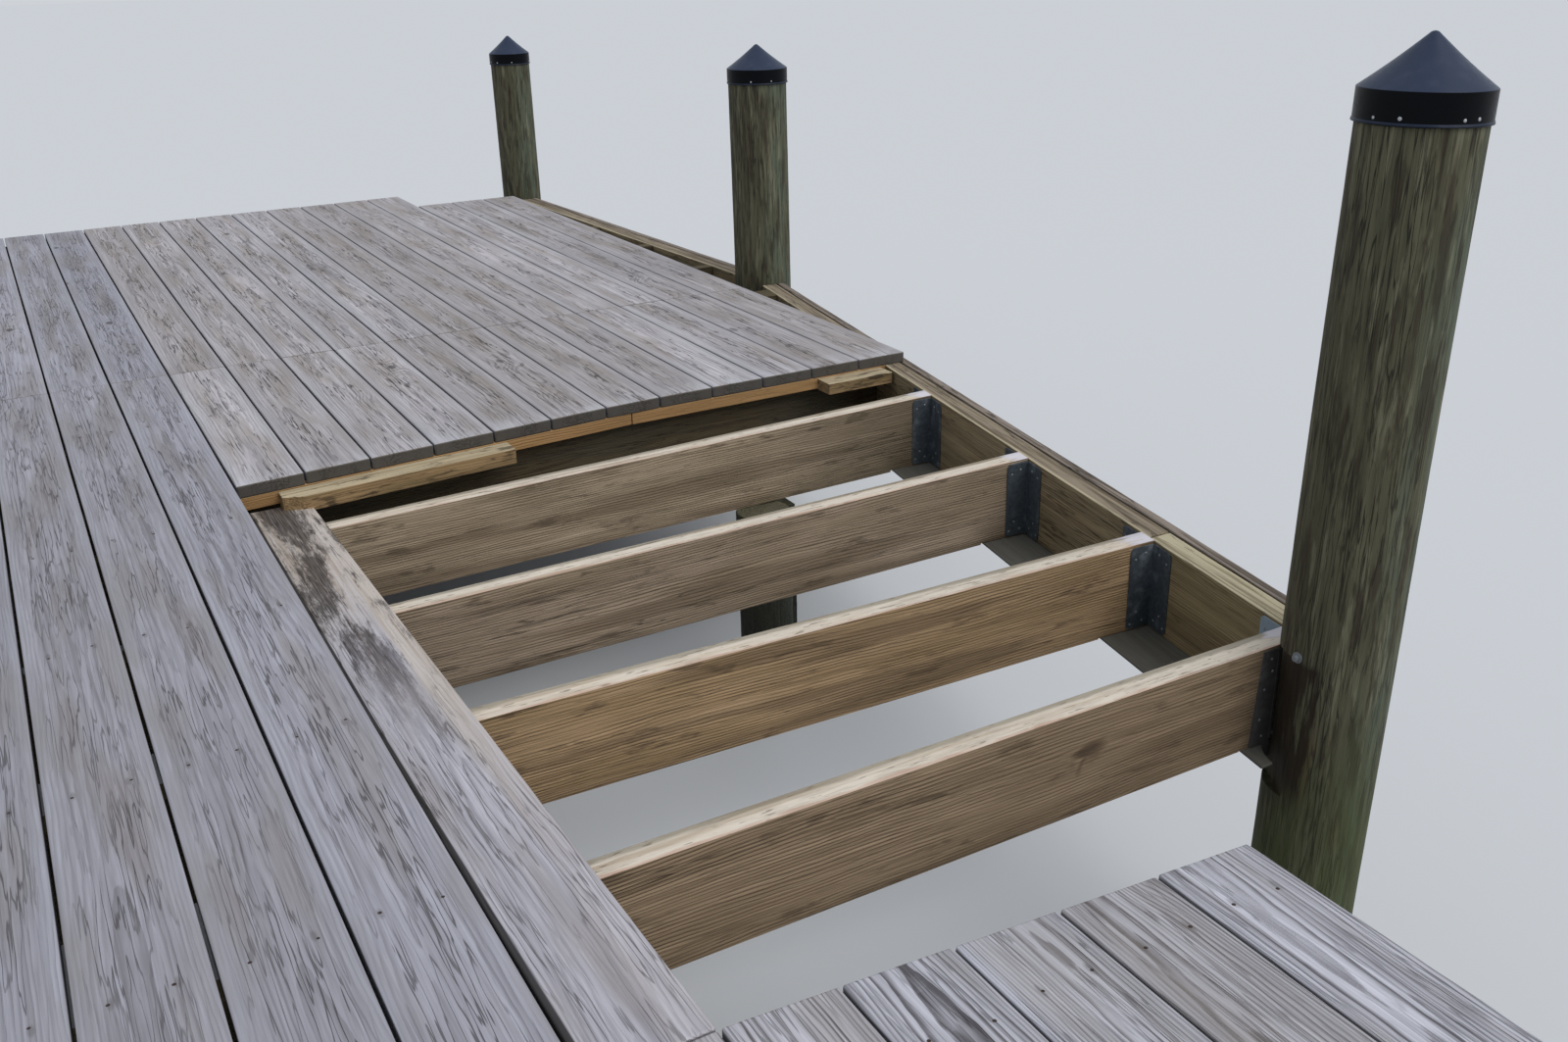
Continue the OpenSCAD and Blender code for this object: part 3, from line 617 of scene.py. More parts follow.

# %% [markdown]
# ## The mildewed board
# One board of the open bay has sunk. Its far end had lain covered, so it is still cream, with mildew in dark
# blotches along the grain and one clean strip on the water side. Further on it is as grey as its neighbours.
# The blotches are about 170 mm by 33 mm, broken by gaps of 300 mm and by 6 mm grains of mould.
# All along the edge beside its neighbour a dark strip is painted shadow, cast by that neighbour, and the
# faces that don't look up carry painted shade.

# %% Mildewed board finish
def mildewed_board():
    wood = wood_recipe("mildewed_old_board", "bab9c3", "7e7c85", "97918f", "3a332e", ring_mm=5.5,
                       ring_depth=0.45, streak=0.45, checks=0.6, cracks=0.6, knots=0.3, patch_amount=0.5,
                       spread=0.05)
    tree, tint, noise_at = wood["tree"], wood["tint"], wood["noise_at"]
    covered = add(tree, RAMP, wood["ends"][1], 0.45, 1.25, 1.0, 0.0, **SOFT)
    edge_strip = add(tree, MATH, add(tree, RAMP, wood["place"][1], -0.35, -0.6, **SOFT),
                     add(tree, RAMP, wood["ends"][1], 1.0, 2.2, 1.0, 0.15, **SOFT), **TIMES)
    pale = add(tree, MATH, covered, edge_strip, operation="MAXIMUM")
    pale = add(tree, MATH, pale, add(tree, RAMP, wood["opened"], 0.1, 0.6, 1.0, 0.35, **SOFT), **TIMES)
    tint(pale, "cbc0b4", 0.7)
    tint(add(tree, MATH, pale, add(tree, RAMP, wood["streaks"], 0.45, 0.65, **SOFT), **TIMES), "9a8672",
         0.4)
    sway = add(tree, MATH, noise_at((2.2, 1.0, 1.0), 1.0), 0.5, **MINUS)
    sway = add(tree, MATH, sway, 1.6, wood["place"][1], **TIMES_PLUS)
    stream = add(tree, MATH, add(tree, MATH, sway, 0.12, **MINUS), **UNSIGNED)
    stream = add(tree, RAMP, stream, 0.15, 0.65, 1.0, 0.0, **SOFT)
    blot = add(tree, MATH, stream, 0.17, noise_at((6.0, 30.0, 30.0), 6.0, rough=0.75), **TIMES_PLUS)
    gaps = noise_at((3.4, 7.0, 7.0), 1.0)
    blot = add(tree, MATH, add(tree, MATH, gaps, 0.5, **MINUS), 0.3, blot, **TIMES_PLUS)
    blot = add(tree, MATH, blot, add(tree, RAMP, wood["ends"][1], 0.1, 0.8, 0.07, 0.0, **SOFT), **PLUS)
    mould = noise_at((4.0, 170.0, 170.0), 2.0)
    blot = add(tree, MATH, add(tree, MATH, mould, 0.5, **MINUS), 0.16, blot, **TIMES_PLUS)
    blot = add(tree, MATH, add(tree, RAMP, blot, 0.5, 0.7, **SOFT),
               add(tree, RAMP, wood["ends"][1], 0.9, 1.7, 1.0, 0.0, **SOFT), **TIMES)
    blot = add(tree, MATH, blot, add(tree, RAMP, wood["fibres"], 0.3, 0.7, 1.0, 0.75, **SOFT), **TIMES)
    tint(blot, "2d2420", 0.95)
    # Painted shadow: a dark strip along the edge beside the neighbour board, the shadow that neighbour casts.
    neighbour_shadow = add(tree, MATH, add(tree, MATH, wood["streaks"], 0.5, **MINUS), 0.06,
               wood["place"][1], **TIMES_PLUS)
    neighbour_shadow = add(tree, MATH, neighbour_shadow, add(tree, RAMP, wood["ends"][1], 0.2, 1.7, 0.13, 0.0, **SOFT), **PLUS)
    tint(add(tree, RAMP, neighbour_shadow, 0.86, 0.9, **SOFT), "191512", 0.92)
    # Painted shade: the faces that don't look up are darkened.
    tint(add(tree, RAMP, wood["facing"][2], 0.1, 0.55, 1.0, 0.0, **SOFT), "3a352c", 0.45)
    return finish_wood(wood, roughness=0.8, bump_mm=1.0)


MILDEWED = mildewed_board()
print("mildewed board:", len(MILDEWED.node_tree.nodes), "nodes")

# %% [markdown]
# ## The finishes of the open joists
# The joists are pressure-treated pine, brown to olive, with fine ribs from the saw. Their tops stayed cream
# under the boards, with a rosy near edge and a grey line where the wet stood. At the rim end the tops have
# peeled to a ragged white patch. The ribs stand 7.5 mm apart, with bands 70 mm and stains 40 mm wide over
# them. The first joist has an old knot, 70 mm long and 30 mm tall, with a spike running through it. The last
# joist carries painted shade towards its rim end.

# %% Joist finishes
RIB_MM = 7.5
KNOT_X, KNOT_Z = 0.776, 0.916
KNOT_LONG, KNOT_TALL = 0.034, 0.016
PEELED_FROM, PEELED_TO = 0.05, 0.075


def ribbed(wood, amount, colour):
    tree = wood["tree"]
    ribs = add(tree, MATH, wood["wobble"], 0.004, wood["wide"], **TIMES_PLUS)
    ribs = add(tree, MATH, wood["fibres"], 0.0015, ribs, **TIMES_PLUS)
    ribs = add(tree, MATH, add(tree, MATH, ribs, 2000.0 * math.pi / RIB_MM, **TIMES), operation="SINE")
    deeper = add(tree, RAMP, wood["noise_at"]((2.5, 12.0, 12.0), 2.0), 0.3, 0.6, 0.4, 1.0, **SOFT)
    ribs = add(tree, MATH, add(tree, RAMP, ribs, -0.1, 0.9, **SOFT), deeper, **TIMES)
    wood["tint"](ribs, colour, amount)
    wood["height"] = add(tree, MATH, ribs, -0.8, wood["height"], **TIMES_PLUS)


def joist_finish(name, early, late, patch, old_knot=False, shaded=0.0):
    wood = wood_recipe(name, early, late, patch, "35291d", ring_mm=9.0, ring_depth=0.25, streak=0.45,
                       checks=0.3, cracks=0.7, knots=0.35, patch_amount=0.5, spread=0.1)
    tree, tint, noise_at = wood["tree"], wood["tint"], wood["noise_at"]
    ribbed(wood, 0.55, "4f3f2c")
    bands = noise_at((1.1, 15.0, 15.0), 3.0)
    tint(add(tree, RAMP, bands, 0.5, 0.64, **SOFT), "5a4a36", 0.5)
    blot = noise_at((6.0, 24.0, 24.0), 4.0, rough=0.6)
    tint(add(tree, RAMP, blot, 0.58, 0.68, **SOFT), "46382a", 0.55)
    tint(add(tree, RAMP, wood["place"][2], -0.5, -1.0, **SOFT), "4b3f2c", 0.3)
    # Painted shade: towards the rim end the joist is darkened by the amount shaded.
    tint(add(tree, RAMP, wood["ends"][1], 0.8, 0.2, 0.0, shaded, **SOFT), "3c3524")
    if old_knot:
        tint(add(tree, RAMP, wood["spot"][0], 0.3, 0.7, 0.0, 0.3, **SOFT), "54432f")
        aside = add(tree, MATH, add(tree, MATH, blot, 0.5, **MINUS), 0.05,
                    add(tree, MATH, wood["spot"][0], KNOT_X, **MINUS), **TIMES_PLUS)
        under = add(tree, MATH, wood["spot"][2], KNOT_Z, **MINUS)
        long_eye = add(tree, MATH, aside, KNOT_LONG, **OVER)
        tall_eye = add(tree, MATH, under, KNOT_TALL, **OVER)
        eye = add(tree, MATH, add(tree, MATH, long_eye, long_eye, **TIMES),
                  add(tree, MATH, tall_eye, tall_eye, **TIMES), **PLUS)
        eye = add(tree, MATH, add(tree, RAMP, eye, 0.2, 1.8, 0.75, 0.0, **SOFT),
                  add(tree, RAMP, wood["streaks"], 0.35, 0.6, 0.6, 1.0, **SOFT), **TIMES)
        spike = add(tree, MATH, add(tree, MATH, under, -0.75, aside, **TIMES_PLUS), **UNSIGNED)
        spike = add(tree, MATH, add(tree, RAMP, spike, 0.001, 0.01, 0.5, 0.0, **SOFT),
                    add(tree, RAMP, under, -0.07, -0.03, **SOFT), **TIMES)
        spike = add(tree, MATH, spike, add(tree, RAMP, under, 0.02, 0.0, **SOFT), **TIMES)
        tint(add(tree, MATH, eye, spike, operation="MAXIMUM"), "3f2e20")
    top = add(tree, RAMP, wood["facing"][2], 0.35, 0.75, **SOFT)
    ragged = noise_at((11.0, 90.0, 90.0), 4.0, rough=0.6)
    tint(add(tree, MATH, top, add(tree, RAMP, ragged, 0.3, 0.6, 0.7, 1.0, **SOFT), **TIMES), "ddd3c4")
    tint(add(tree, MATH, top, add(tree, RAMP, wood["streaks"], 0.5, 0.68, **SOFT), **TIMES), "a08a70", 0.5)
    flecks = add(tree, RAMP, noise_at((22.0, 170.0, 170.0), 2.0), 0.62, 0.68, **SOFT)
    tint(add(tree, MATH, top, flecks, **TIMES), "5b4a3a", 0.6)
    thin = add(tree, MATH, add(tree, MATH, ragged, 0.5, **MINUS), 0.9, wood["place"][1], **TIMES_PLUS)
    tint(add(tree, MATH, top, add(tree, RAMP, thin, -0.65, -0.9, **SOFT), **TIMES), "c08f7a", 0.45)
    tint(add(tree, MATH, top, add(tree, RAMP, thin, 0.3, 0.65, **SOFT), **TIMES), "706957", 0.6)
    reach = add(tree, MATH, add(tree, MATH, ragged, 0.5, **MINUS), 0.16, wood["ends"][1], **TIMES_PLUS)
    peeled = add(tree, MATH, top, add(tree, RAMP, reach, PEELED_FROM, PEELED_TO, 1.0, 0.0, **SOFT), **TIMES)
    tint(peeled, "d6d3dd", 0.85)
    wood["height"] = add(tree, MATH, peeled, 1.2, wood["height"], **TIMES_PLUS)
    return finish_wood(wood, roughness=0.8, bump_mm=1.1)


TAN_JOIST = joist_finish("ribbed_treated_pine_tan", "bc9f7c", "8b7150", "927a56")
GREY_JOIST = joist_finish("ribbed_treated_pine_grey", "b29f8a", "857564", "8a7a62")
RIM_SHADED_JOIST = joist_finish("ribbed_treated_pine_rim_shaded", "b3a089", "84745d", "837761", shaded=0.55)
KNOTTY_JOIST = joist_finish("ribbed_treated_pine_knotty", "ab957a", "7b6650", "86735a", old_knot=True)
print("joist finishes:", KNOTTY_JOIST.name, TAN_JOIST.name, GREY_JOIST.name, RIM_SHADED_JOIST.name)

# %% [markdown]
# ## The other timber finishes
# The frame below is damp, brown and dull. The old rim is cracked, the new piece is yellow green on top, the
# facing board outside is rough and grey brown, and the ledge is nearly black with damp. The nailing strip is
# fresh orange wood and the offcuts are cream with dark stains, 125 mm long and 28 mm wide.

# %% Frame, rim, strip and offcut finishes
def topped(name, early, late, patch, top_colour, top_amount=0.7, edge_colour="a89c80", edge_amount=0.0,
           roughness=0.85, bump_mm=1.0, ribs=0.0, blotch=0.0, top_streak=0.35, **recipe):
    wood = wood_recipe(name, early, late, patch, "241e17", **recipe)
    tree, tint = wood["tree"], wood["tint"]
    ribbed(wood, ribs, late)
    top = add(tree, RAMP, wood["facing"][2], 0.35, 0.8, **SOFT)
    whole = add(tree, MATH, top, add(tree, RAMP, wood["opened"], 0.2, 0.6, 1.0, 0.2, **SOFT), **TIMES)
    tint(whole, top_colour, top_amount)
    fine = add(tree, RAMP, wood["noise_at"]((2.6, 95.0, 95.0), 3.0), 0.46, 0.62, **SOFT)
    tint(add(tree, MATH, top, fine, **TIMES), late, top_streak)
    blot = wood["noise_at"]((8.0, 36.0, 36.0), 4.0, rough=0.6)
    tint(add(tree, RAMP, blot, 0.56, 0.64, **SOFT), "3d3225", blotch)
    inner_edge = add(tree, MATH, add(tree, RAMP, wood["facing"][2], 0.2, 0.6, **SOFT),
                     add(tree, RAMP, wood["place"][1], 0.72, 0.9, **SOFT), **TIMES)
    tint(inner_edge, edge_colour, edge_amount)
    return finish_wood(wood, roughness=roughness, bump_mm=bump_mm)


FRAME_WOOD = topped("damp_old_pine", "5e523c", "3f3628", "45443a", "6a6049", 0.4, ribs=0.3, ring_mm=4.0,
                    streak=0.5, patch_amount=0.5)
OLD_RIM = topped("cracked_old_rim_board", "968769", "574b39", "7b6448", "94897a", 0.7, "cfc3a6", 0.7,
                 ribs=0.6, top_streak=0.75, ring_mm=6.0, ring_depth=0.3, streak=0.6, cracks=0.95,
                 checks=0.7)
NEW_RIM = topped("newer_rim_board", "9b8b69", "66573f", "7a7150", "c9c1a5", 0.75, "d3caad", 0.5, ribs=0.6,
                 top_streak=0.65, ring_mm=6.0, ring_depth=0.3, streak=0.6, cracks=0.6, checks=0.4)
FACING = topped("rough_facing_board", "766c61", "4a4139", "5b5147", "9b8f85", 0.7, bump_mm=1.6,
                top_streak=0.7, ring_mm=5.0, streak=0.8, cracks=1.0, checks=0.9)
LEDGE = topped("algae_dark_plank", "5e5d57", "4d4c45", "545247", "64635e", 0.5, roughness=0.6, bump_mm=0.5,
               ring_mm=5.0, ring_depth=0.25, streak=0.4, cracks=0.2, checks=0.2)
FRESH = topped("fresh_sawn_strip", "ab875b", "84633e", "97744b", "b89c76", 0.4, ring_mm=3.5, ring_depth=0.5,
               streak=0.3, cracks=0.1, checks=0.15, spread=0.05)
OFFCUT = topped("cream_offcut", "a88c66", "7d6445", "726748", "cabda0", 0.8, blotch=0.75, ribs=0.4,
                ring_mm=6.0, ring_depth=0.4, streak=0.5, cracks=0.5, checks=0.5, patch_amount=0.6)
print("rim finishes:", OLD_RIM.name, NEW_RIM.name, FACING.name, LEDGE.name)

# %% [markdown]
# ## Dressing the timbers
# Each timber of the construction is now worn, weathered and finished in one call. The deck boards carry
# their joist rows, and the open joists differ a little in colour as in the photo.

# %% Dress the decks
def dress_timber(name, node, slot, material, edge=0.004, step=0.09, wear=0.0012, warp=0.003,
                 seed=1, **shape):
    bm, _ = worn_blocks(node, edge, step, seed, **shape)
    piece = new_piece(name, bm)
    run_tree(piece, WEATHERING, Wear=wear, Warp=warp, Seed=float(seed), Material=material)
    hand_over(piece, slot, node)
    return piece


DECKS = {}
for place_name, material, edge, seed in (("bank", BANK_WOOD, 0.004, 11), ("near", NEAR_WOOD, 0.006, 12),
                                         ("far", FAR_WOOD, 0.005, 13)):
    node = place_name + "_deck"
    DECKS[node] = dress_timber(place_name + "_boards", node, "weathered_deck", material, edge=edge,
                               seed=seed, middle=True, rows=ROWS)
dress_timber("sunken_board", "stained_board", "stained_deck", MILDEWED, seed=14, middle=True)

# %% [markdown]
# ## The joists and the frame below
# The four open joists get close cuts, because they are seen from near. The frame under the boards is coarser.

# %% Dress the joists
for number, material in enumerate((KNOTTY_JOIST, TAN_JOIST, GREY_JOIST, RIM_SHADED_JOIST), start=1):
    dress_timber(f"open_joist_{number}", f"joist_{number}", "joist_wood", material, edge=0.003, step=0.08,
                 seed=20 + number, pith=(0.3, 0.0))
HIDDEN = ("near_joists", "bank_joists", "far_joists", "cut_joist", "bank_beam", "inner_beam", "near_beam",
          "sunken_beam")
for number, node in enumerate(HIDDEN):
    dress_timber(node + "_timber", node, "frame_wood", FRAME_WOOD, edge=0.003, step=0.25, seed=30 + number)

# %% [markdown]
# ## The rims, the strip and the offcuts
# The rim along the open bay is two boards thick, with a facing board outside and a dark ledge below. The
# strip that will carry the new boards is fresh, and two offcuts lie by it.

# %% Dress the rims
for number, node in enumerate(("near_rim", "bank_rim", "near_end_rim", "far_end_rim")):
    dress_timber(node + "_timber", node, "rim_wood", FRAME_WOOD, step=0.25, seed=60 + number)
dress_timber("old_rim_board", "rim_old", "rim_wood", OLD_RIM, step=0.08, seed=64, pith=(0.3, 0.0))
dress_timber("new_rim_board", "rim_new", "new_rim_wood", NEW_RIM, step=0.08, seed=65, pith=(0.3, 0.0))
dress_timber("facing_board", "fascia", "fascia_wood", FACING, step=0.06, wear=0.003, seed=66)
dress_timber("ledge_board", "rim_ledge", "rim_wood", LEDGE, edge=0.0015, step=0.1, wear=0.0005, warp=0.001,
             seed=67)
dress_timber("new_nailing_strip", "nailing_strip", "new_wood", FRESH, edge=0.002, step=0.08, seed=68)
dress_timber("long_offcut", "long_block", "offcut_wood", OFFCUT, edge=0.003, step=0.05, seed=69)
dress_timber("short_offcut", "short_block", "offcut_wood", OFFCUT, edge=0.003, step=0.05, seed=70)

# %% [markdown]
# ## Logs for the piles
# A pile is a whole log, so its pith is its own axis and its fibres run straight up. A plain cylinder has
# nothing to push about between its ends. So each log is laid out as a grid of rings, eased in at its top.
# The pile beside the open bay leans out a little, so it is measured and built upright, then turned back.

# %% Lay out a log
AROUND = 112
RING_STEP = 0.035
TOP_EASE = 0.004
INSIDE = 0.9965
LEAN_PIVOT = Vector((1.342375, -1.425, 1.05))
LEAN = Matrix.Rotation(math.radians(1.2), 4, "Y")
LEAN = Matrix.Translation(LEAN_PIVOT) @ LEAN @ Matrix.Translation(-LEAN_PIVOT)
LEAN_SPARE = 0.006
PITH_STRAY = 0.008
UPRIGHT = Matrix.Identity(4)


def log_grid(bm, log, spare):
    low, high, radius, centre = log["low"] - spare, log["high"], log["radius"], log["centre"]
    count = max(2, round((high - low) / RING_STEP))
    heights = [(low + (high - TOP_EASE - low) * i / count, radius) for i in range(count + 1)]
    heights.append((high, radius - TOP_EASE))
    rings = []
    for z, r in heights:
        turns = [2 * math.pi * i / AROUND for i in range(AROUND)]
        rings.append([bm.verts.new((centre.x + r * math.cos(a), centre.y + r * math.sin(a), z))
                      for a in turns])
    for below, above in zip(rings, rings[1:]):
        for i in range(AROUND):
            j = (i + 1) % AROUND
            bm.faces.new((below[i], below[j], above[j], above[i])).smooth = True
    bm.faces.new(rings[0][::-1])
    bm.faces.new(rings[-1])


def store_log_grain(bm, logs, turn):
    back = turn.inverted()
    grain, place, ends = [bm.verts.layers.float_vector.new(name) for name in ("grain", "place", "ends")]
    board = bm.verts.layers.float.new("board")
    for v in bm.verts:
        at = back @ v.co
        log = min(logs, key=lambda g: (at.xy - g["centre"].xy).length)
        out = at - log["centre"]
        v[grain] = Vector((at.z, out.x, out.y)) + log["shift"]
        v[place] = Vector((at.z, out.x / log["radius"], out.y / log["radius"]))
        v[ends] = Vector((at.z - log["low"], log["high"] - at.z, out.xy.length))
        v[board] = log["board"]


def measured_logs(node, rng, turn):
    bm = flat_blocks(node)
    bmesh.ops.transform(bm, matrix=turn.inverted(), verts=bm.verts[:])
    logs = []
    for group in sorted(islands(bm), key=lambda g: round(g[0].co.y, 1)):
        low = Vector([min(v.co[i] for v in group) for i in range(3)])
        high = Vector([max(v.co[i] for v in group) for i in range(3)])
        aside = [rng.uniform(*GRAIN_SHIFT)] + [rng.uniform(-PITH_STRAY, PITH_STRAY) for _ in "xy"]
        logs.append({"centre": Vector(((low.x + high.x) / 2, (low.y + high.y) / 2, 0)), "low": low.z,
                     "high": high.z, "radius": (high.y - low.y) / 2 * INSIDE, "shift": Vector(aside),
                     "board": rng.random()})
    bm.free()
    return logs


print("a log has", AROUND, "sides and a ring every", RING_STEP, "m")

# %% [markdown]
# ## Seating a log in its notches
# The mooring piles are notched where the rim runs in. The finished construction already holds those notches,
# so a Boolean keeps only what lies inside it. The log is a hair slimmer, so its bark side is never cut.

# %% Helpers that seat and dress a log
def seat_in_notches(piece, node):
    mould = new_piece("mould", flat_blocks(node))
    cut = piece.modifiers.new("seat", "BOOLEAN")
    cut.operation = "INTERSECT"
    cut.solver = "EXACT"
    cut.object = mould
    keep_result(piece)
    bpy.data.objects.remove(mould)


def dress_logs(name, node, slot, material, seed, notched=False, wear=0.002, warp=0.004, turn=UPRIGHT):
    logs = measured_logs(node, random.Random(seed), turn)
    bm = bmesh.new()
    for log in logs:
        log_grid(bm, log, LEAN_SPARE if turn is LEAN else 0.0)
    bmesh.ops.transform(bm, matrix=turn, verts=bm.verts[:])
    piece = new_piece(name, bm)
    if notched:
        seat_in_notches(piece, node)
    bm = bmesh.new()
    bm.from_mesh(piece.data)
    store_log_grain(bm, logs, turn)
    bm.to_mesh(piece.data)
    bm.free()
    run_tree(piece, WEATHERING, Wear=wear, Warp=warp, Seed=float(seed), Material=material)
    hand_over(piece, slot, node)


print("a log is", INSIDE, "of the construction's thickness")

# %% [markdown]
# ## The finishes of the piles
# A peeled log has weathered to khaki, with tall dark flames where the wet stands longest, painted light in
# grey green streaks on the water side, rusty marks and moss low down. In its notch the bay pile carries
# painted shadow under the shoulder. A flame is about 180 mm tall and 22 mm wide, a fleck half of that. The
# posts in the water are nearly black, with a crust of 17 mm grains.

# %% Pile finishes
def pile_finish(name, seated):
    wood = wood_recipe(name, "5c5b48", "3f3e2f", "4c4837", "181511", ring_mm=4.0, ring_depth=0.1,
                       streak=0.6, checks=0.8, cracks=0.8, knots=0.0, patch_amount=0.5, spread=0.1)
    tree, tint, noise_at = wood["tree"], wood["tint"], wood["noise_at"]
    # Painted light: the water side is lightened to grey green, in streaks, as if lit from there.
    lit = add(tree, MATH, add(tree, MATH, wood["place"][1], 0.87, **TIMES),
              add(tree, MATH, wood["place"][2], 0.49, **TIMES), **MINUS)
    lit = add(tree, MATH, add(tree, RAMP, lit, -0.2, 0.6, **SOFT),
              add(tree, RAMP, noise_at((3.0, 22.0, 22.0), 3.0), 0.36, 0.6, **SOFT), **TIMES)
    tint(lit, "586455", 0.6)
    pale = noise_at((5.0, 60.0, 60.0), 4.0, rough=0.6)
    tint(add(tree, RAMP, pale, 0.53, 0.66, **SOFT), "83816b", 0.5)
    flames = noise_at((5.5, 46.0, 46.0), 4.0, rough=0.6)
    tint(add(tree, RAMP, flames, 0.50, 0.63, **SOFT), "322b20", 0.7)
    flecks = noise_at((10.0, 110.0, 110.0), 3.0, rough=0.6)
    tint(add(tree, RAMP, flecks, 0.56, 0.66, **SOFT), "2a241b", 0.6)
    rusty = add(tree, MATH, add(tree, RAMP, noise_at((5.0, 30.0, 30.0), 2.0), 0.6, 0.72, **SOFT),
                add(tree, RAMP, wood["place"][0], 1.3, 0.9, **SOFT), **TIMES)
    tint(rusty, "5e4330", 0.35)
    low = add(tree, MATH, add(tree, MATH, noise_at((3.0, 14.0, 14.0), 3.0), 0.5, **MINUS), 0.7,
              wood["place"][0], **TIMES_PLUS)
    tint(add(tree, RAMP, low, 0.95, 0.5, **SOFT), "434d2c", 0.65)
    if seated:
        # Painted shadow: under the shoulder of the notch, the bay pile's bank side is darkened to black
        # brown.
        side = add(tree, MATH, wood["place"][1], -0.93,
                   add(tree, MATH, wood["place"][2], 0.36, **TIMES), **TIMES_PLUS)
        side = add(tree, MATH, add(tree, MATH, flames, 0.5, **MINUS), 1.4, side, **TIMES_PLUS)
        span = add(tree, MATH, add(tree, RAMP, wood["place"][0], 0.66, 0.76, **SOFT),
                   add(tree, RAMP, wood["place"][0], 1.01, 1.03, 1.0, 0.0, **SOFT), **TIMES)
        tint(add(tree, MATH, add(tree, RAMP, side, 0.58, 0.8, **SOFT), span, **TIMES), "261c12", 0.9)
    wood["height"] = add(tree, MATH, flames, -1.2, wood["height"], **TIMES_PLUS)
    return finish_wood(wood, roughness=0.84, bump_mm=1.4)


def wet_post_finish():
    wood = wood_recipe("water_dark_post", "3a3b2e", "26251d", "2c3524", "0f0e0b", ring_mm=4.0,
                       ring_depth=0.3, streak=0.6, checks=0.5, cracks=0.6, knots=0.2, patch_amount=0.7,
                       spread=0.15)
    tree, tint, noise_at = wood["tree"], wood["tint"], wood["noise_at"]
    crust = noise_at((55.0, 60.0, 60.0), 3.0, rough=0.65)
    low = add(tree, MATH, add(tree, MATH, crust, 0.5, **MINUS), 0.9, wood["place"][0], **TIMES_PLUS)
    low = add(tree, RAMP, low, 0.65, 0.35, **SOFT)
    tint(add(tree, MATH, low, add(tree, RAMP, crust, 0.4, 0.6, 0.3, 0.9, **SOFT), **TIMES), "1c1e15")
    tint(add(tree, RAMP, wood["facing"][2], 0.5, 0.8, **SOFT), "6e6a55", 0.7)
    wood["height"] = add(tree, MATH, add(tree, MATH, crust, low, **TIMES), 3.0,
                         wood["height"], **TIMES_PLUS)
    return finish_wood(wood, roughness=0.7, bump_mm=2.5)


PILE_WOOD = pile_finish("peeled_mooring_log", False)
BAY_PILE_WOOD = pile_finish("peeled_mooring_log_seated", True)
POST_WOOD = wet_post_finish()
print("pile finishes:", PILE_WOOD.name, POST_WOOD.name)

# %% [markdown]
# ## Dressing the piles
# The four mooring piles stand in notches of the rim. The piles and posts that carry the frame stand free.

# %% Dress all the piles
MOORINGS = ("near", "bay", "corner", "end")
for number, place_name in enumerate(MOORINGS):
    bay = place_name == "bay"
    dress_logs(f"{place_name}_mooring_pile", f"{place_name}_pile", "pile_wood",
               BAY_PILE_WOOD if bay else PILE_WOOD, seed=40 + number, notched=True,
               turn=LEAN if bay else UPRIGHT)
for number, node in enumerate(("bank_piles", "inner_piles", "near_stubs", "sunken_posts", "lone_pile")):
    dress_logs(node + "_logs", node, "stub_wood", POST_WOOD, seed=50 + number, wear=0.006)
dress_timber("square_post_timber", "square_post", "stub_wood", POST_WOOD, edge=0.004, step=0.05, wear=0.006,
             seed=56)

# %% [markdown]
# ## Pile caps
# A cap is a moulded plastic cone with a short skirt and a flared lip. It is round all over, so it is made
# as a profile turned about the pile's axis. Its small radii are what catches the light. The cone is painted
# bluish grey, partly faded plastic and partly a painted reflection of the sky, while the skirt is black. Dust
# lies on it in clouds of about 33 mm, its gloss changes every 8 mm, and the mould's 2.6 mm pebbling keeps the
# highlight broad.

# %% Turn the caps
CAP_SIDES = 128
LIP_OUT, LIP_TALL = 0.002, 0.004
CAP_WALL = 0.003
CAP_SKIRT = 0.062
CAP_POINT = 0.012
LIP_ROUND, NECK_ROUND, SHOULDER_ROUND = 0.0012, 0.0022, 0.003
CONE_SAG, CONE_STEPS = 0.0025, 9


def arc(centre, radius, start, stop, steps=5):
    turns = [math.radians(start + (stop - start) * i / steps) for i in range(steps + 1)]
    return [(centre[0] + radius * math.cos(a), centre[1] + radius * math.sin(a)) for a in turns]


def cap_profile(radius, tall):
    wall = radius - LIP_OUT
    inner = wall - CAP_WALL
    slope = math.atan2(tall - CAP_SKIRT, wall)
    outer = arc((radius - LIP_ROUND, LIP_ROUND), LIP_ROUND, -90, 60)
    outer += arc((wall + NECK_ROUND, LIP_TALL + 0.003), NECK_ROUND, 240, 180, 4)
    outer += arc((wall - SHOULDER_ROUND, CAP_SKIRT - 0.004), SHOULDER_ROUND, 0, 55, 5)
    start = outer[-1]
    end = (CAP_POINT * math.sin(slope), tall - CAP_POINT * (1 - math.cos(slope)))
    for i in range(1, CONE_STEPS):
        share = i / CONE_STEPS
        sag = CONE_SAG * math.sin(math.pi * share)
        outer.append((start[0] + (end[0] - start[0]) * share, start[1] + (end[1] - start[1]) * share - sag))
    top = math.degrees(slope)
    outer += arc((0.0, tall - CAP_POINT), CAP_POINT, 90 - top, 88, 5)
    outer.append((0.0, tall))
    return outer + [(0.0, tall - 2 * CAP_WALL), (inner, CAP_SKIRT - 2 * CAP_WALL), (inner, 0.0)]


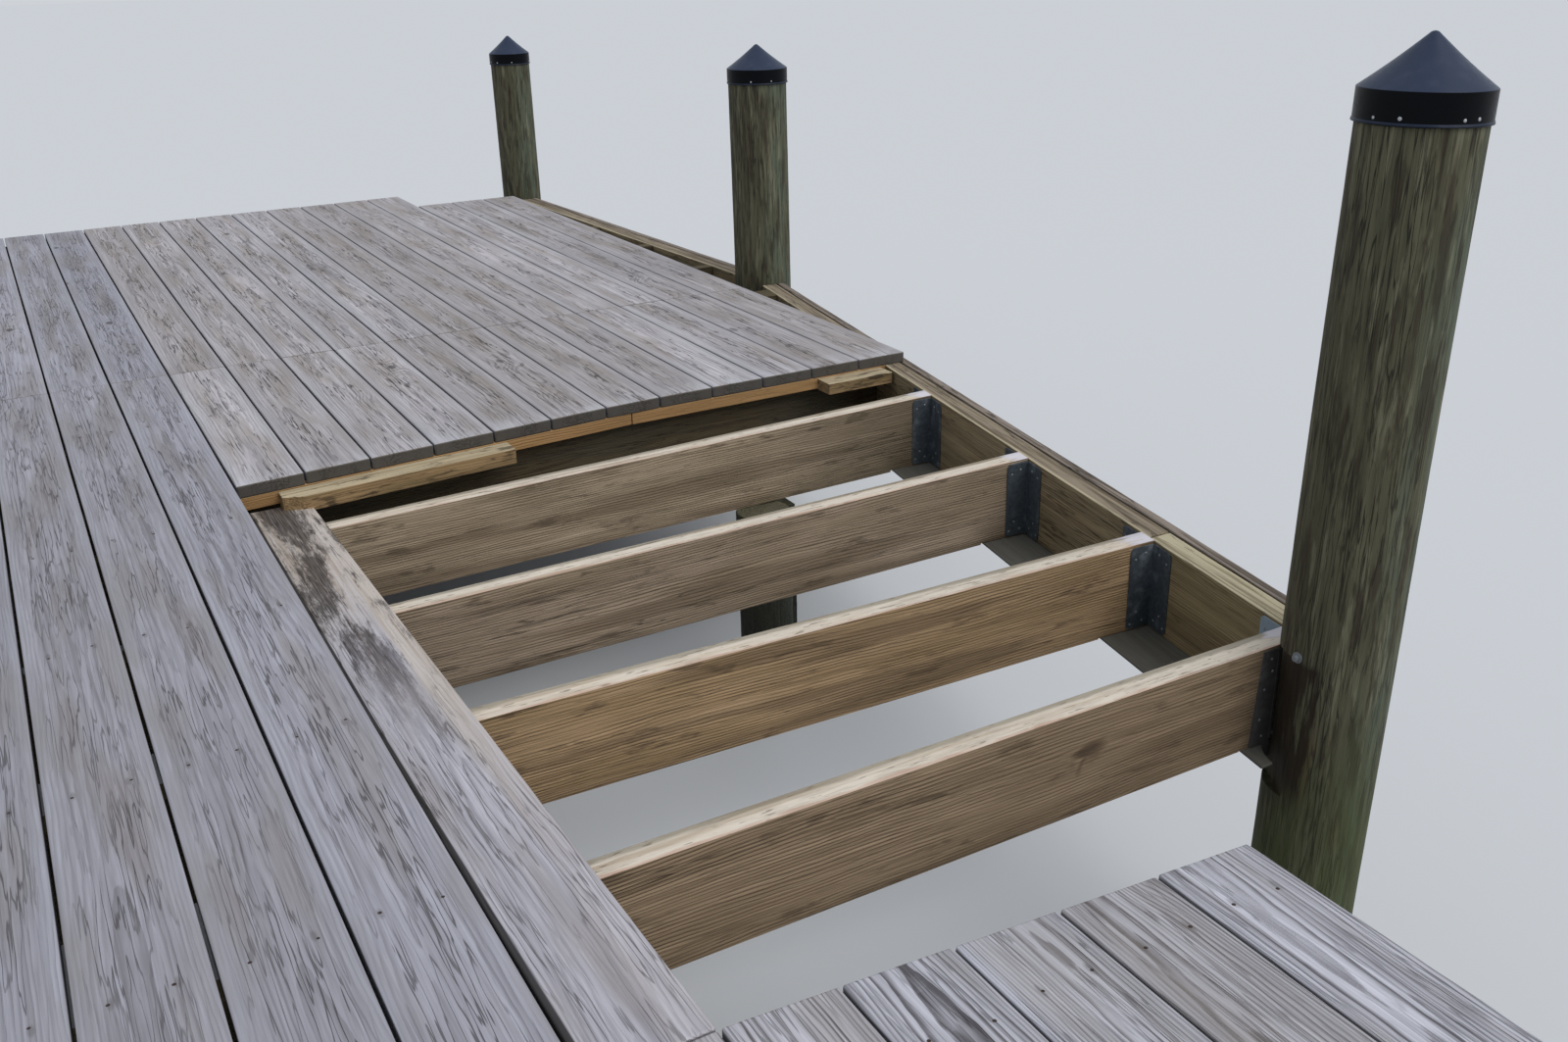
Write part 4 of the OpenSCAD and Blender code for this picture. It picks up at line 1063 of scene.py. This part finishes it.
def turned(bm, profile, centre, low):
    columns = []
    for out, up in profile:
        if out < WELD:
            columns.append([bm.verts.new((centre.x, centre.y, low + up))] * CAP_SIDES)
            continue
        turns = [2 * math.pi * i / CAP_SIDES for i in range(CAP_SIDES)]
        columns.append([bm.verts.new((centre.x + out * math.cos(a), centre.y + out * math.sin(a), low + up))
                        for a in turns])
    columns.append(columns[0])
    for first, second in zip(columns, columns[1:]):
        for i in range(CAP_SIDES):
            j = (i + 1) % CAP_SIDES
            corners = []
            for v in (first[i], first[j], second[j], second[i]):
                if v not in corners:
                    corners.append(v)
            if len(corners) > 2:
                bm.faces.new(corners).smooth = True


def plain_material(name):
    material = bpy.data.materials.new(name)
    material.use_nodes = True
    material.node_tree.nodes.clear()
    return material, material.node_tree


def cap_finish():
    material, tree = plain_material("moulded_black_polyethylene")
    at = add(tree, POSITION).outputs
    cone = add(tree, RAMP, add(tree, APART, at["Normal"]).outputs[2], 0.25, 0.7, **SOFT)
    # Partly painted reflection: the upturned cone is painted bluish grey, as faded plastic and as the sky it
    # reflects.
    faded_and_sky_reflection = add(tree, MIX, {0: cone, 6: linear("020408"), 7: linear("323c50")}, **COLOURS).outputs[2]
    clouds, gloss, pebbles = [add(tree, NOISE, {"Vector": at["Object"], "Scale": scale, "Detail": detail})
                              for scale, detail in ((30.0, 4.0), (130.0, 3.0), (380.0, 2.0))]
    dusty = add(tree, MATH, add(tree, RAMP, clouds, 0.45, 0.8, 0.0, 0.3, **SOFT), cone, **TIMES)
    colour = add(tree, MIX, {0: dusty, 6: faded_and_sky_reflection, 7: linear("4b5265")}, **COLOURS).outputs[2]
    rough = add(tree, RAMP, gloss, 0.3, 0.7, 0.3, 0.4, **SOFT)
    bump = add(tree, BUMP, {"Height": pebbles, "Strength": 0.4, "Distance": 0.0004})
    surface = add(tree, SHADER, {"Base Color": colour, "Roughness": rough, "Specular IOR Level": 0.1,
                                 "Normal": bump})
    add(tree, OUTPUT, {"Surface": surface})
    return material


CAP_PLASTIC = cap_finish()
CAPS = {}
for place_name in MOORINGS:
    turn = LEAN if place_name == "bay" else UPRIGHT
    shape = measured_logs(place_name + "_cap", random.Random(1), turn)[0]
    shape["radius"] /= INSIDE
    bm = bmesh.new()
    turned(bm, cap_profile(shape["radius"], shape["high"] - shape["low"]), shape["centre"], shape["low"])
    bmesh.ops.transform(bm, matrix=turn, verts=bm.verts[:])
    CAPS[place_name] = (new_piece(place_name + "_pile_cap", bm), shape, turn)
    CAPS[place_name][0].data.materials.append(CAP_PLASTIC)
    hand_over(CAPS[place_name][0], "cap_plastic", place_name + "_cap")

# %% [markdown]
# ## Angle brackets
# Steel angles hold the joists to the rim. Each is cut from one strip with clipped corners and bent, and its
# cut edges are softened. Hot-dip zinc has dulled to slate blue with a crystal pattern of 9 mm flakes, and
# it is worn and rusty in patches of 42 and 17 mm. By the first joist the angles carry painted light, so they
# are paler, and the strap in front carries painted shade, brown as a painted reflection of the wood.

# %% Clip and soften the angle brackets
CLIPPED = 0.012
SHORT_EDGE, TIP_REACH = 0.006, 0.03
CUT_ANGLE, CUT_EDGE = math.radians(50), 0.0005


def zinc_finish():
    material, tree = plain_material("dull_slate_galvanising")
    at = add(tree, POSITION).outputs["Object"]
    crystals = add(tree, "ShaderNodeTexVoronoi", {"Vector": at, "Scale": 110.0, "Randomness": 1.0})
    crystal = add(tree, "ShaderNodeSeparateColor", crystals.outputs["Color"])
    wear, rust, grit = [add(tree, NOISE, {"Vector": at, "Scale": scale, "Detail": detail})
                        for scale, detail in ((24.0, 4.0), (60.0, 4.0), (300.0, 2.0))]
    flakes = add(tree, RAMP, crystal, 0.0, 1.0, 0.0, 0.5, **SOFT)
    colour = add(tree, MIX, {0: flakes, 6: linear("454d54"), 7: linear("5c666f")}, **COLOURS).outputs[2]
    worn = add(tree, RAMP, wear, 0.52, 0.72, 0.0, 0.6, **SOFT)
    colour = add(tree, MIX, {0: worn, 6: colour, 7: linear("7d868e")}, **COLOURS).outputs[2]
    rusty = add(tree, RAMP, rust, 0.64, 0.72, 0.0, 0.7, **SOFT)
    colour = add(tree, MIX, {0: rusty, 6: colour, 7: linear("4a372c")}, **COLOURS).outputs[2]
    depth = add(tree, APART, at).outputs[1]
    # Painted light: the angles by the first joist are painted paler.
    painted_light_patch = add(tree, MATH, add(tree, RAMP, depth, -1.34, -1.32, **SOFT),
                add(tree, RAMP, depth, -1.1, -1.15, **SOFT), **TIMES)
    painted_light_patch = add(tree, MATH, painted_light_patch, 0.6, **TIMES)
    colour = add(tree, MIX, {0: painted_light_patch, 6: colour, 7: linear("a3b6c6")}, **COLOURS).outputs[2]
    # Painted shade: the strap in front is darkened to brown, a painted reflection of the wood in the pile's
    # shade.
    painted_shade_reflection = add(tree, RAMP, depth, -1.33, -1.34, 0.0, 0.65, **SOFT)
    colour = add(tree, MIX, {0: painted_shade_reflection, 6: colour, 7: linear("5b4f42")}, **COLOURS).outputs[2]
    bump = add(tree, BUMP, {"Height": grit, "Strength": 0.5, "Distance": 0.0004})
    surface = add(tree, SHADER, {"Base Color": colour, "Metallic": 0.35, "Roughness": 0.5, "Normal": bump})
    add(tree, OUTPUT, {"Surface": surface})
    return material


def bent_brackets():
    bm = flat_blocks("angle_brackets")
    faces_to_nail, corners, rims = [], [], []
    for group in islands(bm):
        edges = {e for v in group for e in v.link_edges}
        upright = [e for e in edges if abs((e.verts[0].co - e.verts[1].co).normalized().z) > 0.9]
        inner = next(e for e in upright if not e.is_convex)
        spot = (inner.verts[0].co + inner.verts[1].co) / 2
        reach = {e: ((e.verts[0].co + e.verts[1].co) / 2 - spot).xy.length for e in upright if e is not inner}
        outer = min(reach, key=reach.get)
        corners.append((inner, outer))
        rims += [e for e in edges if e is not inner and e is not outer]
        for face in inner.link_faces:
            tall = [v.co.z for v in face.verts]
            away = sorted((v.co for v in face.verts), key=lambda c: (c - spot).xy.length)[-1]
            reach_out = Vector((away.x - spot.x, away.y - spot.y, 0))
            faces_to_nail.append((spot.copy(), reach_out, face.normal.copy(), min(tall), max(tall)))
    spots = [(inner.verts[0].co.xy + inner.verts[1].co.xy) / 2 for inner, _ in corners]
    tips = [e for e in rims if e.calc_length() < SHORT_EDGE
            and min((e.verts[0].co.xy - s).length for s in spots) > TIP_REACH]
    cut = bmesh.ops.bevel(bm, geom=tips, offset=CLIPPED, segments=4, profile=0.5, affect="EDGES",
                          clamp_overlap=True)
    sharp = [e for e in bm.edges if e.is_manifold and e.calc_face_angle(0) > CUT_ANGLE
             and e.calc_length() > SHORT_EDGE]
    bmesh.ops.bevel(bm, geom=sharp, offset=CUT_EDGE, segments=1, profile=0.5, affect="EDGES",
                    clamp_overlap=True)
    print("clipped corners:", len(tips), "new faces:", len(cut["faces"]))
    return bm, faces_to_nail


ZINC = zinc_finish()
bm, NAILED_FACES = bent_brackets()
brackets = new_piece("steel_angle_brackets", bm)
brackets.data.materials.append(ZINC)
hand_over(brackets, "bracket_steel", "angle_brackets")
print("brackets:", len(NAILED_FACES) // 2)

# %% [markdown]
# ## The strap of the first joist
# A flat strap laps from the nearest angle over the end of the first open joist. It is cut on a slant, and
# it reaches a little below the joist. It is laid out in the plane of that joist's near face.

# %% Cut the strap
STRAP_OUTLINE = ((1.229, 1.006), (1.271, 1.006), (1.271, 0.781), (1.285, 0.781), (1.285, 0.742),
                 (1.262, 0.742), (1.214, 0.784))
STRAP_THICK = 0.0036


def face_plane(node):
    bm = flat_blocks(node)
    face = max(bm.faces, key=lambda f: f.calc_area() * (f.normal.y < -0.9))
    plane = face.calc_center_median().copy(), face.normal.copy()
    bm.free()
    return plane


at, out = face_plane("joist_1")
bm = bmesh.new()
bm.faces.new([bm.verts.new((x, at.y - (x - at.x) * out.x / out.y, z)) for x, z in STRAP_OUTLINE])
outside = bmesh.ops.extrude_face_region(bm, geom=bm.faces[:])["geom"]
bmesh.ops.translate(bm, vec=out * STRAP_THICK,
                    verts=[v for v in outside if isinstance(v, bmesh.types.BMVert)])
bmesh.ops.recalc_face_normals(bm, faces=bm.faces[:])
strap = new_piece("joist_strap", bm)
strap.data.materials.append(ZINC)
hand_over(strap, "bracket_steel")

# %% [markdown]
# ## Nails by Geometry Nodes
# Every nail is the same flat dome, so Geometry Nodes puts one on each marked point. The point carries the
# direction that the nail looks, and a fixed seed varies the size a little. The points are found by a ray
# onto the finished surface, so that each dome sits in the wood and doesn't float above it. Rust comes in
# specks of about 1.5 mm.

# %% Build the nail tree
def nail_tree():
    tree = bpy.data.node_groups.new("drive_nails", "GeometryNodeTree")
    face = tree.interface
    face.new_socket("Geometry", in_out="INPUT", socket_type="NodeSocketGeometry")
    for name, value in (("Radius", 0.0036), ("Proud", 0.0009)):
        face.new_socket(name, in_out="INPUT", socket_type="NodeSocketFloat").default_value = value
    face.new_socket("Seed", in_out="INPUT", socket_type="NodeSocketInt").default_value = 1
    face.new_socket("Material", in_out="INPUT", socket_type="NodeSocketMaterial")
    face.new_socket("Geometry", in_out="OUTPUT", socket_type="NodeSocketGeometry")
    given = add(tree, "NodeGroupInput").outputs
    ball = add(tree, "GeometryNodeMeshUVSphere", {"Segments": 12, "Rings": 6, "Radius": given["Radius"]})
    flatness = add(tree, MATH, given["Proud"], given["Radius"], **OVER)
    scale = add(tree, JOINED, 1.0, 1.0, flatness)
    dome = add(tree, "GeometryNodeTransform", {"Geometry": ball, "Scale": scale})
    dome = add(tree, "GeometryNodeSetShadeSmooth", {"Geometry": dome, "Shade Smooth": True})
    aim = add(tree, "GeometryNodeInputNamedAttribute", {"Name": "aim"}, data_type="FLOAT_VECTOR")
    turn = add(tree, "FunctionNodeAlignRotationToVector", {"Vector": aim}, axis="Z")
    size = add(tree, "FunctionNodeRandomValue", {2: 0.88, 3: 1.12, 8: given["Seed"]},
               data_type="FLOAT").outputs[1]
    placed = add(tree, "GeometryNodeInstanceOnPoints",
                 {"Points": given["Geometry"], "Instance": dome, "Rotation": turn, "Scale": size})
    real = add(tree, "GeometryNodeRealizeInstances", {"Geometry": placed})
    dressed = add(tree, "GeometryNodeSetMaterial", {"Geometry": real, "Material": given["Material"]})
    add(tree, "NodeGroupOutput", {"Geometry": dressed})
    return tree


def surface_of(piece):
    mesh = piece.data
    return BVHTree.FromPolygons([v.co for v in mesh.vertices], [p.vertices for p in mesh.polygons])


def marked_points(name, points):
    mesh = bpy.data.meshes.new(name)
    mesh.from_pydata([at for at, _ in points], [], [])
    aim = mesh.attributes.new("aim", "FLOAT_VECTOR", "POINT")
    for i, (_, direction) in enumerate(points):
        aim.data[i].vector = direction
    piece = bpy.data.objects.new(name, mesh)
    bpy.context.scene.collection.objects.link(piece)
    return piece


def nail_finish(name, steel, rust, rust_from):
    material, tree = plain_material(name)
    at = add(tree, POSITION).outputs["Object"]
    spots = add(tree, NOISE, {"Vector": at, "Scale": 700.0, "Detail": 3.0})
    rusty = add(tree, RAMP, spots, rust_from, rust_from + 0.15, **SOFT)
    colour = add(tree, MIX, {0: rusty, 6: linear(steel), 7: linear(rust)}, **COLOURS).outputs[2]
    surface = add(tree, SHADER, {"Base Color": colour, "Metallic": 0.4, "Roughness": 0.55})
    add(tree, OUTPUT, {"Surface": surface})
    return material


NAILING = nail_tree()
DARK_NAIL = nail_finish("rust_dark_nail", "2d2825", "4a3226", 0.45)
PALE_NAIL = nail_finish("zinc_plated_nail", "b4b7ba", "6f6459", 0.6)
GREY_NAIL = nail_finish("dull_zinc_nail", "8b9298", "5b5048", 0.55)
print("nail tree:", len(NAILING.nodes), "nodes")

# %% [markdown]
# ## Nails in the deck
# Two nails hold each board at each joist, about a quarter of its width from either edge.

# %% Nail the decks
END_MARGIN = 0.03
STRAY_ACROSS, STRAY_ALONG = 0.006, 0.013
RAY_START = 0.05


def deck_nails(node, seed):
    rng = random.Random(seed)
    skin = surface_of(DECKS[node])
    bm = flat_blocks(node)
    points = []
    for group in islands(bm):
        low = Vector([min(v.co[i] for v in group) for i in range(3)])
        high = Vector([max(v.co[i] for v in group) for i in range(3)])
        for row in (y for y in ROWS if low.y + END_MARGIN < y < high.y - END_MARGIN):
            for side in (-1, 1):
                x = (low.x + high.x) / 2 + side * NAIL_OFF + rng.uniform(-STRAY_ACROSS, STRAY_ACROSS)
                y = row + rng.uniform(-STRAY_ALONG, STRAY_ALONG)
                spot, normal, _, _ = skin.ray_cast(Vector((x, y, high.z + RAY_START)), -UP)
                if spot is not None and normal.z > 0.9:
                    points.append((spot, normal))
    bm.free()
    return points


for number, node in enumerate(DECKS):
    nails = marked_points(node.replace("deck", "nails"), deck_nails(node, 80 + number))
    run_tree(nails, NAILING, Radius=0.0032, Proud=0.0006, Seed=number, Material=DARK_NAIL)
    hand_over(nails, "bracket_steel")

# %% [markdown]
# ## Nails of the caps and the brackets
# Small pale nails hold each cap just above its lip, and a few hold both legs of each bracket and the strap.
# The bay pile's cap has its nails at the angles that the photograph shows.

# %% Nail the caps and the brackets
BAY_NAILS = (175.1, 199.6, 252.1, 267.1, 320.0, 12.0, 60.0, 120.0)
CAP_NAILS, CAP_STRAY, CAP_RISE = 8, 14, (0.011, 0.016)
TOP_NAILS = ((0.35, 0.022), (0.78, 0.03))
LOW_NAILS = ((0.3, 0.02), (0.6, 0.045), (0.85, 0.016))
STRAP_NAILS = ((1.252, 0.985), (1.258, 0.955), (1.236, 0.842), (1.247, 0.80), (1.24, 0.915))
RAY_BACK, NAIL_STRAY = 0.3, 0.003

points = []
for place_name, (piece, shape, turn) in CAPS.items():
    rng = random.Random(len(place_name))
    skin = surface_of(piece)
    if place_name == "bay":
        degrees = BAY_NAILS
    else:
        degrees = [360 / CAP_NAILS * i + rng.uniform(-CAP_STRAY, CAP_STRAY) for i in range(CAP_NAILS)]
    for degree in degrees:
        away = Vector((math.cos(math.radians(degree)), math.sin(math.radians(degree)), 0))
        start = shape["centre"] + away * RAY_BACK + UP * (shape["low"] + rng.uniform(*CAP_RISE))
        spot, normal, _, _ = skin.ray_cast(turn @ start, -(turn.to_3x3() @ away))
        points.append((spot, normal))
nails = marked_points("cap_nails", points)
run_tree(nails, NAILING, Radius=0.0034, Proud=0.0012, Seed=7, Material=PALE_NAIL)
hand_over(nails, "bracket_steel")

rng = random.Random(90)
points = []
for spot, reach, normal, low, high in NAILED_FACES:
    heights = [(share, high - drop) for share, drop in TOP_NAILS]
    heights += [(share, low + rise) for share, rise in LOW_NAILS]
    for share, height in heights:
        at = spot + reach * share
        at.z = height + rng.uniform(-NAIL_STRAY, NAIL_STRAY)
        points.append((at, normal))
skin = surface_of(strap)
for x, z in STRAP_NAILS:
    spot, normal, _, _ = skin.ray_cast(Vector((x, -1.5, z)), Vector((0, 1, 0)))
    points.append((spot, normal))
nails = marked_points("bracket_nails", points)
run_tree(nails, NAILING, Radius=0.0036, Proud=0.0014, Seed=8, Material=GREY_NAIL)
hand_over(nails, "bracket_steel")

# %% [markdown]
# ## The bolt of the bay pile
# One bolt with a round washer holds the pile by the open bay. Its hexagon and washer are simple solids that
# a small tree puts on the pile's skin.

# %% Put on the bolt
HEAD_DEPTH, WASHER_DEPTH, WASHER_SHARE = 0.008, 0.004, 1.8
BOLT_HEIGHT = 1.032


def bolt_tree():
    tree = bpy.data.node_groups.new("bolt_on", "GeometryNodeTree")
    face = tree.interface
    face.new_socket("Geometry", in_out="INPUT", socket_type="NodeSocketGeometry")
    face.new_socket("Across", in_out="INPUT", socket_type="NodeSocketFloat").default_value = 0.01
    face.new_socket("Material", in_out="INPUT", socket_type="NodeSocketMaterial")
    face.new_socket("Geometry", in_out="OUTPUT", socket_type="NodeSocketGeometry")
    given = add(tree, "NodeGroupInput").outputs
    head = add(tree, "GeometryNodeMeshCylinder",
               {"Vertices": 6, "Radius": given["Across"], "Depth": HEAD_DEPTH})
    head = add(tree, "GeometryNodeTransform", {"Geometry": head, "Translation": (0, 0, 0.006)})
    wide = add(tree, MATH, given["Across"], WASHER_SHARE, **TIMES)
    washer = add(tree, "GeometryNodeMeshCylinder", {"Vertices": 32, "Radius": wide, "Depth": WASHER_DEPTH})
    both = add(tree, "GeometryNodeJoinGeometry", {"Geometry": head})
    tree.links.new(washer.outputs[0], both.inputs[0])
    aim = add(tree, "GeometryNodeInputNamedAttribute", {"Name": "aim"}, data_type="FLOAT_VECTOR")
    turn = add(tree, "FunctionNodeAlignRotationToVector", {"Vector": aim}, axis="Z")
    placed = add(tree, "GeometryNodeInstanceOnPoints",
                 {"Points": given["Geometry"], "Instance": both, "Rotation": turn})
    real = add(tree, "GeometryNodeRealizeInstances", {"Geometry": placed})
    dressed = add(tree, "GeometryNodeSetMaterial", {"Geometry": real, "Material": given["Material"]})
    add(tree, "NodeGroupOutput", {"Geometry": dressed})
    return tree


skin = surface_of(bpy.data.objects["bay_mooring_pile"])
away = Vector((-1.0, 0.05, 0.0)).normalized()
start = Vector((LEAN_PIVOT.x, LEAN_PIVOT.y, BOLT_HEIGHT)) + away * RAY_BACK
spot, _, _, _ = skin.ray_cast(start, -away)
bolt = marked_points("bay_pile_bolt", [(spot, away)])
run_tree(bolt, bolt_tree(), Across=0.0065, Material=GREY_NAIL)
hand_over(bolt, "bracket_steel")
print("bolt at", [round(c, 3) for c in spot])

# %% [markdown]
# ## Close the lesson
# The size of the finished look is measured.

# %% Close
low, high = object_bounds()
